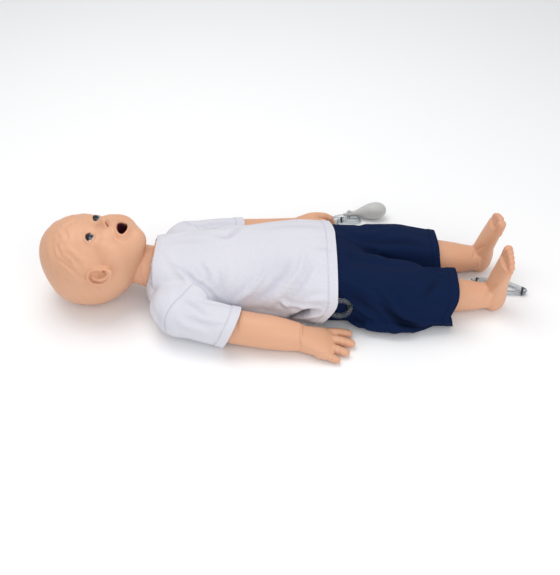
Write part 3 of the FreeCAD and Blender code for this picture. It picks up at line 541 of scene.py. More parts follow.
# %% [markdown]
# ## Squeeze bulb and its valve
# The bulb is one blow-moulded rubber pear with a parting seam along it. A profile spun round its own
# axis gives the body, and a pair of low welts down its sides is the seam the mould leaves.

# %% Squeeze bulb
def along_bulb(bm):
    turn = bulb_axis.to_track_quat("X", "Z").to_matrix().to_4x4()
    bmesh.ops.transform(bm, matrix=Matrix.Translation(bulb_neck * mm) @ turn, verts=bm.verts)


def spun(bm, outline, steps):
    """Spins a profile of (place, radius) pairs, in millimetres, round the X axis."""
    verts = [bm.verts.new((place * mm, radius * mm, 0)) for place, radius in outline]
    edges = [bm.edges.new(pair) for pair in zip(verts, verts[1:])]
    bmesh.ops.spin(bm, geom=verts + edges, cent=(0, 0, 0), axis=(1, 0, 0), angle=2 * math.pi, steps=steps,
                   use_merge=True)
    bmesh.ops.remove_doubles(bm, verts=bm.verts, dist=1e-6)


bulb_rows = smooth_rows([(0.0, 4.4), (6.0, 5.2), (18.0, 10.0), (31.0, 14.3), (42.0, 15.0), (52.0, 12.2), (58.5, 6.0),
                         (60.0, 0.4)], 56)
bm = bmesh.new()
spun(bm, [(0, 0)] + [tuple(row) for row in bulb_rows] + [(60.0, 0)], 96)
for vert in bm.verts:
    angle = math.atan2(vert.co.y, vert.co.z)
    seam = math.exp(-(math.sin(angle) / 0.045) ** 2) * min(1, vert.co.x / mm / 8)
    vert.co.z *= 1 + 0.022 * seam
along_bulb(bm)
bulb = piece_from(bm, "rubber_bulb")
bulb_finish = Finish("bulb_rubber", (0.58, 0.58, 0.57), 0.42)
dust = bulb_finish.noise(60, 4)
bulb_finish.colour(bulb_finish.mix(dust, (0.47, 0.47, 0.455), (0.57, 0.57, 0.555)))
bulb_finish.roughness(dust * 0.18 + 0.34)
bulb_finish.relief(bulb_finish.noise(1400, 2), 0.05)
bulb_finish.on(bulb)
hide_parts("squeeze_bulb")
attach(bulb, "torso")

# %% Valve on the bulb's neck
bm = bmesh.new()
spun(bm, [(-17, 0), (-17, 2.1), (-16.6, 2.5), (-14.6, 2.9), (-14.4, 2.3), (-12.6, 2.8), (-12.4, 2.3), (-11, 2.6),
           (-10.9, 4.4), (-10.5, 4.9), (-8.2, 5.1), (-8.0, 4.6), (-6.8, 4.6), (-6.6, 5.2), (-4.4, 5.2), (-4.2, 4.6),
           (-1.4, 4.6), (-1.2, 5.2), (-0.4, 5.2), (0.0, 4.8), (0.0, 0)], 48)
stem = bmesh.ops.create_cone(bm, segments=24, radius1=1.8 * mm, radius2=1.6 * mm, depth=7.0 * mm,
                             cap_ends=True)["verts"]
bmesh.ops.translate(bm, verts=stem, vec=(-5.5 * mm, 0, 3.9 * mm))
knurl = bmesh.ops.create_cone(bm, segments=18, radius1=2.6 * mm, radius2=2.6 * mm, depth=2.4 * mm,
                              cap_ends=True)["verts"]
bmesh.ops.translate(bm, verts=knurl, vec=(-5.5 * mm, 0, 6.3 * mm))
along_bulb(bm)
valve = piece_from(bm, "bulb_valve_fitting")
edge = valve.modifiers.new("edge", "BEVEL")
edge.width, edge.segments, edge.limit_method, edge.angle_limit = 0.25 * mm, 2, "ANGLE", math.radians(40)
fitting_finish = Finish("valve_plastic", (0.56, 0.56, 0.55), 0.36)
fitting_finish.colour(fitting_finish.mix(fitting_finish.noise(120, 3), (0.50, 0.50, 0.49), (0.60, 0.60, 0.59)))
fitting_finish.on(valve)
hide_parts("bulb_valve")
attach(valve, "torso")

# %% [markdown]
# ## Ties
# The hanks are held by short rubber ties. A tie is a flat band bent round the bundle: an oval of small
# sections bridged into a closed strip, with a tail that stands off where the ends are twisted together.

# %% Ties
tie_finish = Finish("dark_tie", (0.012, 0.014, 0.014), 0.5)
tie_finish.colour(tie_finish.mix(tie_finish.noise(300, 2), (0.008, 0.010, 0.010), (0.022, 0.025, 0.024)))
green_tie_finish = Finish("green_tie", (0.008, 0.03, 0.022), 0.5)
green_tie_finish.colour(green_tie_finish.mix(green_tie_finish.noise(300, 2), (0.006, 0.022, 0.017),
                                             (0.014, 0.045, 0.034)))


def band(name, centre, across, up, half_across, half_up, width, thickness, tail, replaced, finish):
    """A flat closed strip round an oval, with a twisted tail."""
    across, up = Vector(across).normalized(), Vector(up).normalized()
    along = across.cross(up)
    centre = Vector(centre)
    bm = bmesh.new()
    rings = []
    for a in np.linspace(0, 2 * math.pi, 41):
        out = across * math.cos(a) + up * math.sin(a)
        middle = centre + across * half_across * math.cos(a) + up * half_up * math.sin(a)
        corners = [(width / 2, 0), (width / 2 * 0.8, thickness), (-width / 2 * 0.8, thickness), (-width / 2, 0)]
        rings.append([middle + along * s + out * t for s, t in corners])
    add_rings(bm, rings, closed_ends=False)
    bmesh.ops.remove_doubles(bm, verts=bm.verts, dist=1e-6)
    root = centre + up * (half_up + thickness * 0.5)
    for sign in (-1, 1):
        tip = root + Vector(tail) + along * sign * 1.6
        add_limb(bm, root + along * sign * 0.3, tip, 0.75, 0.6, 10, 5)
    tie = piece_from(bm, name)
    finish.on(tie)
    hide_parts(*replaced)
    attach(tie, "torso")
    return tie


hank_tie = band("bulb_hank_tie", (173.5, 185, 4.5), (0, 1, 0), (0, 0, 1), 5.2, 3.5, 3.0, 0.8, (1.2, -3.6, 1.2),
                ["hank_tie"], tie_finish)
coil_angle = math.radians(18)
coil_out = Vector((math.cos(coil_angle), 0, math.sin(coil_angle)))
coil_tie = band("coil_tie", coil_centre + coil_out * 15.5, coil_out, (0, -1, 0), 3.5, 3.5, 3.2, 0.9, (1.5, -0.6, 2.4),
                ["waist_coil_tie"], green_tie_finish)
foot_axis = Vector(foot_way).normalized()
foot_across = Vector((-foot_axis.y, foot_axis.x, 0))
foot_centre = Vector(foot_middle)
foot_tie_near = band("foot_tie_near", foot_centre + foot_axis * -36 + Vector((0, 0, 0.3)), foot_across, (0, 0, 1),
                     6.6, 4.8, 3.0, 0.8, (2.0, 2.0, 0.6), ["foot_hank_ties"], tie_finish)
foot_tie_far = band("foot_tie_far", foot_centre + foot_axis * 37 + Vector((0, 0, 0.3)), foot_across, (0, 0, 1), 6.6,
                    4.8, 3.0, 0.8, (2.4, -1.6, 0.6), ["foot_hank_ties"], tie_finish)

# %% Lay the tubes
tube_curve("bulb_tubing", left_tube, ["pulse_tube_left", "tube_hank", "bulb_tube"])
tube_curve("waist_tubing", right_tube, ["pulse_tube_right", "waist_coil"])
tube_curve("drain_tubing", drain_tube, ["drain_tube", "foot_hank"])

# %% [markdown]
# ## Vinyl skin
# Head and limbs are rotation-moulded soft vinyl: an even flesh colour that runs through the material,
# a little warmer where the mould is thin, and a satin surface with a fine grain. The colour is mixed
# from a slow noise and from attributes painted on the points, so the flush follows the form, and
# painted shade, a deep brown, lies in creases, nostrils, ear openings and between hair locks.

# %% Vinyl finish
skin_finish = Finish("vinyl_skin", (0.72, 0.415, 0.262), 0.47, Subsurface_Weight=0.12, Subsurface_Scale=0.004)
skin_finish.shader.inputs["Subsurface Radius"].default_value = (1.0, 0.35, 0.2)
blotch = skin_finish.noise(16, 3)
fine = skin_finish.noise(90, 4)
warm = skin_finish.attribute("flush")
painted_shade = skin_finish.attribute("painted_shade")
lining = skin_finish.attribute("lining")
even = skin_finish.mix(blotch * 0.7 + fine * 0.3, (0.675, 0.360, 0.215), (0.730, 0.408, 0.254))
flushed = skin_finish.mix(warm * 0.6, even, (0.66, 0.275, 0.165))
# Painted shade: a deep brown mixed in where shade falls, in creases, holes and hair valleys.
with_painted_shade = skin_finish.mix(painted_shade, flushed, (0.34, 0.13, 0.08))
skin_finish.colour(skin_finish.mix(lining, with_painted_shade, (0.052, 0.003, 0.012)))
skin_finish.roughness(fine * 0.14 + 0.40)
skin_finish.relief(skin_finish.noise(1100, 3) * 0.7 + skin_finish.noise(260, 2) * 0.3, 0.09)

# %% [markdown]
# ## Head
# A moulded head is one skin, so it is best made as a sculptor blocks in clay: round forms pushed into
# each other, joined by a voxel remesh, softened, and then worked with small brush strokes. A stroke
# here is `bump`, a soft hill of numbers round a point, used to push the skin in or out.

# %% Head forms
head_sections = [(-303, 12, 64, 92), (-299, 25, 47, 108), (-287, 44, 23, 123), (-267, 60.5, 5, 134.5),
                 (-241, 68, 0.3, 137), (-213, 66.5, 2, 132), (-186, 60, 16, 130), (-166, 50, 36, 128),
                 (-152, 31, 60, 122), (-143.5, 15, 82, 112)]


def head_ring(row, segments=48):
    x, half_width, low, high = row
    middle = low + 0.56 * (high - low)
    ring = []
    for a in ring_angles(segments):
        up, out = math.sin(a), math.cos(a)
        if up < 0 and x > -285:
            up, out = -abs(up) ** 0.88, math.copysign(abs(out) ** 0.88, out)
        ring.append((x, out * half_width, middle + up * (high - middle if up >= 0 else middle - low)))
    return ring


ear_u = Vector((0.95, -0.04, 0.31)).normalized()
ear_n = Vector((-0.10, -0.95, 0.31)).normalized()
ear_v = -ear_u.cross(ear_n).normalized()
ear_n = ear_v.cross(ear_u) * (1 if ear_v.cross(ear_u).y < 0 else -1)
ear_centre = Vector((-200.4, -62.4, 91.8))


def ear_point(u, v, n):
    return ear_centre + ear_u * u + ear_v * v + ear_n * n


def ear_path(corners, count):
    return [ear_point(*row) for row in smooth_rows(corners, count)]


helix = ear_path([(8, 8.0, 2.6), (-3, 10.8, 4.0), (-12, 9.4, 5.0), (-18, 4.0, 5.4), (-19, -3.5, 5.6),
                  (-14, -10.0, 5.6), (-4, -12.6, 5.6), (6, -11.4, 5.4), (13.5, -7.0, 5.0), (17.0, -1.0, 4.6)], 46)
antihelix = ear_path([(-12, 3.0, 3.6), (-10.5, -2.5, 4.6), (-4, -6.0, 5.0), (4, -6.2, 5.0), (10, -3.0, 4.4),
                      (12, 0.5, 3.8)], 26)

bm = bmesh.new()
add_rings(bm, [head_ring(row) for row in smooth_rows(head_sections, 44)])
for side in (-1, 1):
    add_ball(bm, (-187, side * 32, 98), (30, 25, 29))
    add_ball(bm, (-196, side * 28, 109), (22, 20, 22))
    add_ball(bm, (-171, side * 21, 97), (19, 19, 22))
    add_ball(bm, (-217, side * 23, 121.2), (13.4, 13.6, 13.2))
    add_ball(bm, (-195.4, side * 5.6, 138.0), (4.8, 3.8, 5.4), detail=3)
    add_ball(bm, (-228, side * 20, 116), (15, 20, 18))
    for point in helix:
        add_ball(bm, (point.x, -side * point.y, point.z), (2.8, 2.8, 2.8), detail=2)
    for point in antihelix:
        add_ball(bm, (point.x, -side * point.y, point.z), (2.3, 2.3, 2.3), detail=2)
    flat = Matrix((ear_u, ear_v, ear_n)).transposed()
    if side > 0:
        flat = Matrix.Diagonal((1, -1, 1)) @ flat
    for (u, v, n), radii in (((-1, -1.5, -0.6), (19.0, 12.8, 4.6)), ((15.0, 1.6, 2.8), (6.0, 5.6, 3.2)),
                             ((4.0, 7.4, 2.6), (4.4, 2.8, 3.0))):
        place = ear_point(u, v, n)
        add_ball(bm, (place.x, side * place.y * -1, place.z), radii, flat)
add_ball(bm, (-209, 0, 127), (14, 6.5, 9.5))
add_ball(bm, (-195, 0, 117), (26, 30, 19.5))
add_ball(bm, (-202, 0, 135), (9, 6.0, 9))
add_ball(bm, (-198.0, 0, 139.6), (7.2, 6.2, 9.6))
add_ball(bm, (-174, 0, 119), (18, 21, 15.0))
add_ball(bm, (-152.6, 0, 105.5), (13.4, 17, 19.5))
add_ball(bm, (-162, 0, 119.5), (6.0, 11.0, 6.5))
head = piece_from(bm, "head_vinyl")
remesh(head, 1.5, 3)
p = points_of(head)
crisp = bump(p, (-198, 0, 145), (12, 12, 11))
for side in (-1, 1):
    crisp = np.maximum(crisp, 1.6 * bump(p, (-200, side * 66, 93), (22, 9, 17)))
    crisp = np.maximum(crisp, 0.8 * bump(p, (-217, side * 23, 132), (11, 12, 8)))
soften(head, 36, share=1 - np.clip(crisp, 0, 1), keep_size=False)

# %% Open the mouth and the eyes
eye_places = [np.array((-218.0, -23.0, 121.5)), np.array((-216.0, 23.0, 121.5))]


mouth_x, mouth_half_length, mouth_half_width = -173, 7.2, 12.6


def from_mouth(points):
    """How far points lie from the middle of the mouth, 1 on the rim of its oval opening."""
    return np.sqrt(((points[:, 0] - mouth_x) / mouth_half_length) ** 2 + (points[:, 1] / mouth_half_width) ** 2)


def from_eye(points, place):
    """Offsets from the centre of an eye, and how far points lie from the middle of its almond opening, 1 on the
    rim. The near eye stands open a little wider."""
    offset = points - place
    half_height = 5.6 if place[1] < 0 else 4.6
    return offset, np.sqrt(((offset[:, 0] - 0.6) / half_height) ** 2 + (np.abs(offset[:, 1]) / 7.8) ** 1.8)


p = points_of(head)
mouth_reach = from_mouth(p)
facing = smooth_step(p[:, 2], 108, 116)
p[:, 2] -= 26 * (1 - smooth_step(mouth_reach, 0.78, 1.12)) * facing
for side in (-1, 1):
    reach = np.sqrt(((p[:, 0] + 192.6) / 2.2) ** 2 + ((p[:, 1] - side * 4.6) / 1.9) ** 2)
    hole = (1 - smooth_step(reach, 0.5, 1.4)) * smooth_step(p[:, 2], 130, 134)
    p[:, 2] -= 4.5 * hole
    p[:, 0] -= 2.0 * hole
for place in eye_places:
    d, almond = from_eye(p, place)
    away = np.linalg.norm(d, axis=1)
    opening = (1 - smooth_step(almond, 0.86, 1.16)) * (d[:, 2] > 4)
    p += d / away[:, None] * (10.2 - away)[:, None] * opening[:, None]
move_points(head, p)
remesh(head, 1.08, 2)

# %% Work the face, the hair and the ears
p = points_of(head)
n = normals_of(head)
push = np.zeros(len(p))
mouth_reach = from_mouth(p)
face = smooth_step(p[:, 2], 108, 118)
# Lips, fuller above, with the groove over them, the folds beside them and the hollow under them
lip = np.exp(-((mouth_reach - 1.32) / 0.26) ** 2) * face
push += 1.5 * lip * (1 + 0.35 * np.sign(mouth_x - p[:, 0]))
push -= 1.0 * bump(p, (-183.5, 0, 134), (4.5, 2.2, 12))
push -= 1.1 * np.exp(-((mouth_reach - 2.0) / 0.28) ** 2) * face * smooth_step(np.abs(p[:, 1]), 10, 22)
push -= 1.0 * bump(p, (-158.0, 0, 122), (3.0, 13, 12))
# Hollows beside the chin, creases beside the nose, brows and the ears' openings
for side in (-1, 1):
    push -= 2.6 * bump(p, (-161, side * 16, 114), (7, 9, 10))
    push -= 0.5 * bump(p, (-190, side * 15, 126), (3, 7, 14), 20)
    push += 0.9 * bump(p, (-231, side * 24, 124), (5, 15, 14))
    push -= 3.2 * bump(p, (-195.6, side * 63, 97.4), (3.0, 7, 3.2))
# Lid rims, and the creases over and under each eye
for place in eye_places:
    d, almond = from_eye(p, place)
    front = smooth_step(d[:, 2], 2, 7)
    push += 0.55 * np.exp(-((almond - 1.28) / 0.2) ** 2) * front
    lid = np.sqrt(((d[:, 0] + 3.4) / 7.6) ** 2 + (d[:, 1] / 11.5) ** 2)
    push -= 0.8 * np.exp(-((lid - 1.0) / 0.10) ** 2) * front * smooth_step(-d[:, 0], 2, 6)
    pouch = np.sqrt(((d[:, 0] - 2.5) / 7.0) ** 2 + (d[:, 1] / 10.0) ** 2)
    push -= 0.6 * np.exp(-((pouch - 1.05) / 0.14) ** 2) * front * smooth_step(d[:, 0], 2, 6)

# Hair: combed locks and finer strands, shallow, inside a hair line that runs from the ear over the brow
line_heights = [50, 96, 107, 115, 122, 126, 132, 137]
line_places = [-196, -214, -223, -226, -234, -244, -250, -258]
hair_line = np.interp(p[:, 2], line_heights, line_places) + 1.6 * np.sin(p[:, 2] * 0.5)
hair = smooth_step(hair_line - p[:, 0], -1.5, 3.0)
across = 0.78 * p[:, 0] + 0.62 * p[:, 2] + 5.5 * np.sin(0.06 * p[:, 0] - 0.09 * p[:, 2]) + 0.25 * np.abs(p[:, 1])
across_top = 0.95 * np.abs(p[:, 1] + 6) + 0.30 * p[:, 0] + 4.5 * np.sin(0.075 * p[:, 0] + 0.05 * p[:, 1])
top_share = smooth_step(p[:, 2], 98, 124)
across = across * (1 - top_share) + across_top * top_share
lock = np.abs(np.sin(across * math.pi / 13.0 + 0.8 * np.sin(p[:, 0] * 0.07)))
strand = np.abs(np.sin(across * math.pi / 4.3 + 1.1 * np.sin(p[:, 2] * 0.11 + p[:, 0] * 0.05)))
patch = 0.55 + 0.45 * np.sin(p[:, 0] * 0.045 + p[:, 2] * 0.06 + 0.03 * p[:, 1])
under_head = smooth_step(p[:, 2], 6, 40)
hair_relief = (1.15 * (lock ** 0.6 - 0.6) + 0.32 * (strand ** 0.7 - 0.5)) * (0.45 + 0.55 * patch) * under_head
push += hair * (0.26 * hair_relief + 0.50)
move_points(head, p + n * push[:, None])
# Hair locks and valleys, traced on one side of the head and mirrored; then the ridges and hollows of the ear,
# given in the ear's own plane. Each is (points, width, height) for `fold`.
lock_width, lock_height = 1.2, 0.8
locks = []
for side in (-1, 1):
    for line, width, height in [
            ([(-250, 43, 124), (-240, 46, 120), (-232, 51, 115), (-225, 53, 111), (-222, 57, 105)], 3.4, 1.7),
            ([(-259, 39, 125), (-254, 50, 117), (-247, 53, 113)], 2.6, 1.3),
            ([(-253, 49, 118), (-244, 53, 113), (-235, 59, 105)], 2.4, 1.2),
            ([(-268, 29, 129), (-262, 40, 123), (-254, 50, 117), (-246, 55, 111), (-241, 58, 107)], 2.2, -1.3),
            ([(-263, 50, 114), (-254, 56, 109), (-245, 60, 104), (-234, 64, 94)], 1.9, -1.1),
            ([(-262, 54, 108), (-251, 60, 102), (-239, 65, 93)], 2.0, 1.0),
            ([(-269, 35, 125), (-264, 47, 117), (-256, 55, 110)], 2.0, 1.0),
            ([(-268, 8, 135), (-259, 20, 134), (-253, 32, 130)], 3.0, 1.2),
            ([(-266, -6, 136), (-255, 6, 137), (-247, 18, 135), (-245, 31, 131)], 2.6, 1.3),
            ([(-289, 20, 120), (-285, 39, 110), (-279, 50, 98)], 2.4, -0.9),
            ([(-284, 16, 126), (-279, 37, 117), (-272, 53, 103)], 2.6, 1.0),
            ([(-276, 12, 131), (-272, 32, 126), (-266, 50, 112)], 2.4, -0.9),
            ([(-246, 61, 96), (-232, 66, 84), (-218, 66, 76)], 2.4, 0.9),
            ([(-270, 54, 96), (-256, 62, 86), (-236, 68, 72)], 2.4, -0.8),
            ([(-280, 46, 88), (-266, 58, 74), (-246, 67, 58)], 2.6, 0.8)]:
        locks.append(([(x, side * y, z) for x, y, z in line], width * lock_width, height * lock_height))
    for line, width, height in [
            ([(8, 8.0), (-3, 10.8), (-12, 9.4), (-18, 4.0), (-19, -3.5), (-14, -10.0), (-4, -12.6), (6, -11.4),
              (13.5, -7.0), (17.0, -1.0)], 2.0, 1.5),
            ([(-6, 7.4), (-12.5, 5.4), (-15.2, 0), (-11.5, -6.6), (-3, -9.4), (6, -8.8), (11, -5.6)], 1.5, -1.7),
            ([(-11, 3), (-9.5, -2.5), (-3.5, -6), (4, -6.2), (10, -3)], 1.5, 0.9),
            ([(-6, 2.4), (0, 0.4), (8, 1.4)], 3.2, -2.4),
            ([(-22.5, -4), (-17, -12.5), (-6, -16.4), (7, -15), (16, -10)], 1.6, -1.0)]:
        places = [ear_point(u, v, 5) for u, v in line]
        locks.append(([(point.x, -side * point.y, point.z) for point in places], width, height))
groove_shade = fold(head, locks)

p = points_of(head)
mouth_reach = from_mouth(p)
inside = (1 - smooth_step(mouth_reach, 0.98, 1.12)) * smooth_step(p[:, 2], 94, 100)
lash = np.zeros(len(p))
for place in eye_places:
    d, almond = from_eye(p, place)
    lash += (1 - smooth_step(almond, 1.06, 1.22)) * smooth_step(d[:, 2], 3, 6) * smooth_step(-d[:, 0], -2.5, 0.5)
holes = sum((1 - smooth_step(np.sqrt(((p[:, 0] + 193.4) / 2.6) ** 2 + ((p[:, 1] - s * 4.6) / 2.2) ** 2), 0.6, 1.1))
            * smooth_step(p[:, 2], 128, 134)
            for s in (-1, 1))
ear_hole = sum(1 - smooth_step(np.linalg.norm(p - np.array((-195.4, s * 62.0, 97.6)), axis=1), 1.4, 2.6)
               for s in (-1, 1))
flush = 0.5 * np.exp(-((mouth_reach - 1.3) / 0.3) ** 2) * smooth_step(p[:, 2], 108, 118)
for side in (-1, 1):
    flush = flush + 0.35 * bump(p, (-182, side * 40, 108), (20, 18, 22))
    flush = flush + 0.3 * bump(p, (-204, side * 66, 92), (20, 9, 15))
flush = flush + 0.3 * bump(p, (-196, 0, 146), (8, 9, 8))
paint(head, "flush", flush)
# Painted shade in the nostrils and ear openings, between hair locks and along the valleys of the hair and ear folds.
paint(head, "painted_shade", np.maximum(0.9 * holes, 0.9 * ear_hole) + 0.05 * hair * (1 - np.minimum(lock, 1))
      + 0.22 * groove_shade)
paint(head, "lining", np.maximum(inside, 0.93 * lash))
skin_finish.on(head)
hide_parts("head_skin")
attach(head, "head")

# %% Mouth lining behind the lips
bm = bmesh.new()
add_rings(bm, [[(-175 + 10.5 * s * math.cos(a), 14.5 * s * math.sin(a), z) for a in ring_angles(40)]
               for s, z in ((0.62, 114.0), (0.86, 108.0), (1.0, 100.5), (0.97, 97.2), (0.72, 95.2), (0.3, 94.4))],
               closed_ends=False)
mouth_cup = piece_from(bm, "mouth_lining")
wall = mouth_cup.modifiers.new("wall", "SOLIDIFY")
wall.thickness = 1.2 * mm
lining_finish = Finish("mouth_lining", (0.12, 0.004, 0.026), 0.5)
lining_finish.colour(lining_finish.mix(lining_finish.noise(80, 2), (0.10, 0.003, 0.022), (0.15, 0.006, 0.034)))
lining_finish.on(mouth_cup)
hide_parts("mouth_liner")
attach(mouth_cup, "head")

# %% Eyes
def eye_material(name, centre, look, lid):
    """Glossy ball: white, a grey-blue iris with a near-black rim, and a pupil, as distances from where it looks. The
    part towards the upper lid, up to lid millimetres past the centre along X, is painted near-black as the lid's
    shadow.
    """
    eye = Finish(name, (0.8, 0.8, 0.78), 0.24, Specular_IOR_Level=0.25)
    ahead = [c * mm + l * 12 * mm for c, l in zip(centre, look)]
    away = eye.node("ShaderNodeVectorMath", {"operation": "DISTANCE"}, {0: eye.place, 1: ahead}, "Value")
    rays = eye.noise(700, 2)
    iris = eye.mix(rays.ramp(0.35, 0.7), (0.035, 0.075, 0.115), (0.13, 0.21, 0.27))
    rim = eye.mix(away.ramp(0.0048, 0.0058), iris, (0.010, 0.014, 0.018))
    white = eye.mix(away.ramp(0.0060, 0.0066), rim, (0.70, 0.69, 0.66))
    open_eye = eye.mix(away.ramp(0.0020, 0.0024), (0.004, 0.004, 0.005), white)
    down_face = eye.node("ShaderNodeSeparateXYZ", {}, {0: eye.place}, 0)
    # Painted shadow of the upper lid: near-black over the part of the ball nearest the lid.
    lid_shadow = down_face.ramp((centre[0] + lid) * mm, (centre[0] + lid + 1.2) * mm)
    eye.colour(eye.mix(lid_shadow, (0.006, 0.004, 0.005), open_eye))
    return eye


look = Vector((0.20, -0.10, 1.0)).normalized()
# The far eye gets a wider painted lid shadow than the near one.
for name, centre, lid in (("eye_right", (-217, -23, 121.5), -0.7), ("eye_left", (-217, 23, 121.5), 2.4)):
    eye_material(name, centre, look, lid).on(nodes[name])

# %% [markdown]
# ## Neck
# The neck is a separate soft sleeve between the head and the shirt. It is drawn from a few round
# sections, wider and lower towards the shoulders, with one slight roll where a baby's neck creases.

# %% Neck
neck_crease_x = -147
neck_rows = smooth_rows([(-176, 58, 27.5, 29.0), (-166, 60, 31.0, 31.0), (-152, 57.5, 33.0, 33.5),
                         (-140, 54.5, 34.0, 33.5), (-125, 51.5, 33.0, 33.0)], 60)
bm = bmesh.new()
rings = []
for x, z, half_width, half_height in neck_rows:
    roll = 0.5 * math.exp(-((x - neck_crease_x) / 3.0) ** 2)
    rings.append([(x - 3 * math.sin(a), (half_width - roll) * math.cos(a), z + (half_height - roll) * math.sin(a))
                  for a in ring_angles(96)])
add_rings(bm, rings, closed_ends=False)
neck = piece_from(bm, "neck_vinyl")
soften(neck, 2)
paint(neck, "flush", np.full(len(neck.data.vertices), 0.15))
p = points_of(neck)
# Painted shade along the neck's crease.
paint(neck, "painted_shade", 0.08 * np.exp(-((p[:, 0] - neck_crease_x + 3 * (p[:, 2] - 56) / 33) / 1.6) ** 2))
paint(neck, "lining", np.zeros(len(p)))
wall = neck.modifiers.new("wall", "SOLIDIFY")
wall.thickness = 1.6 * mm
skin_finish.on(neck)
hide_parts("neck_skin")
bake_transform(neck)

# %% [markdown]
# ## Arms and legs
# Each limb is one skin as well. The limb is a row of round sections; fingers and toes are round-tipped
# tapers pushed into the palm or the foot. After the voxel remesh, creases at wrists, knuckles, knees
# and ankles are strokes that press the skin in along a short line.

# %% Limb helpers
def limb_ring(x, y, z, radius, lean=0.0, segments=40):
    return [(x + radius * math.cos(a) * math.sin(lean), y + radius * math.cos(a) * math.cos(lean),
             z + radius * math.sin(a))
            for a in ring_angles(segments)]


def palm_ring(x, y, z, half_y, half_z, segments=40):
    ring = []
    for a in ring_angles(segments):
        c, s = math.cos(a), math.sin(a)
        ring.append((x, y + half_y * math.copysign(abs(c) ** 0.8, c), z + half_z * math.copysign(abs(s) ** 0.9, s)))
    return ring


def stroke(points, start, end, width, height):
    """A soft ridge or groove along a line, fading out at its ends."""
    distance, share = line_near(points, start, end)
    return height * np.exp(-(distance / width) ** 2) * np.sin(math.pi * np.clip(share, 0.04, 0.96)) ** 0.7


def flipped(points, side):
    return points * np.array((1, side, 1.0))


skins = {}


def finish_skin(piece, body, node, painted_shade, flush):
    skins[node] = piece
    paint(piece, "flush", flush)
    paint(piece, "painted_shade", painted_shade)
    paint(piece, "lining", np.zeros(len(painted_shade)))
    skin_finish.on(piece)
    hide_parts(node)
    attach(piece, body)


# %% Arms
arm_rows = [(-116, 86, 41, 9), (-111, 88, 41, 17), (-101, 90, 41, 23.2), (-86, 92, 39, 25), (-52, 100, 36, 25.5),
            (-8, 109, 31.2, 26), (22, 114, 28.5, 25.5), (56, 119, 26.1, 25)]
right_hand = {
    "wrist": (96, 124, 21.9, 20.5),
    "palm": [(90, 123.5, 21, 20, 20), (100, 125, 19, 21.5, 17), (114, 126.5, 17, 25, 14), (130, 126, 14, 27, 11.5),
             (142, 124.5, 11, 25, 8)],
    "fingers": [((130, 107, 12.5), (149, 104.5, 11.8), (166, 103, 8.0), 8.5, 7.4, 6.3),
                ((130, 120, 13), (151, 121.5, 12.4), (169, 123, 7.8), 8.5, 7.4, 6.3),
                ((126, 134, 12.5), (144, 138, 11.8), (160, 141, 7.5), 8.0, 7.0, 6.0),
                ((120, 146, 11), (134, 151, 10.2), (146, 155, 6.8), 7.5, 6.4, 5.4),
                ((112, 106, 12), (127, 102.5, 11.2), (140, 101.5, 8.0), 9.0, 7.8, 6.4)]}
left_hand = {
    "wrist": (94, 131, 24, 20.5),
    "palm": [(88, 130, 24, 20, 20.5), (98, 134, 24.5, 18, 21.5), (112, 139, 25.5, 15.5, 24), (126, 142, 26, 13, 24),
             (134, 143, 26, 10, 20)],
    "fingers": [((126, 144, 42), (140, 144.5, 41), (150, 143, 38), 8.0, 7.4, 6.3),
                ((126, 145, 31), (141, 145.5, 30.2), (153, 144, 28), 8.5, 7.6, 6.6),
                ((126, 145, 20), (140, 145.5, 19.5), (151, 144, 18), 8.3, 7.4, 6.4),
                ((124, 143, 10.5), (136, 143, 9.6), (144, 142, 8.5), 7.5, 6.6, 5.9),
                ((108, 132, 40), (124, 128.5, 42.5), (138, 126, 43), 9.0, 7.6, 6.5)]}


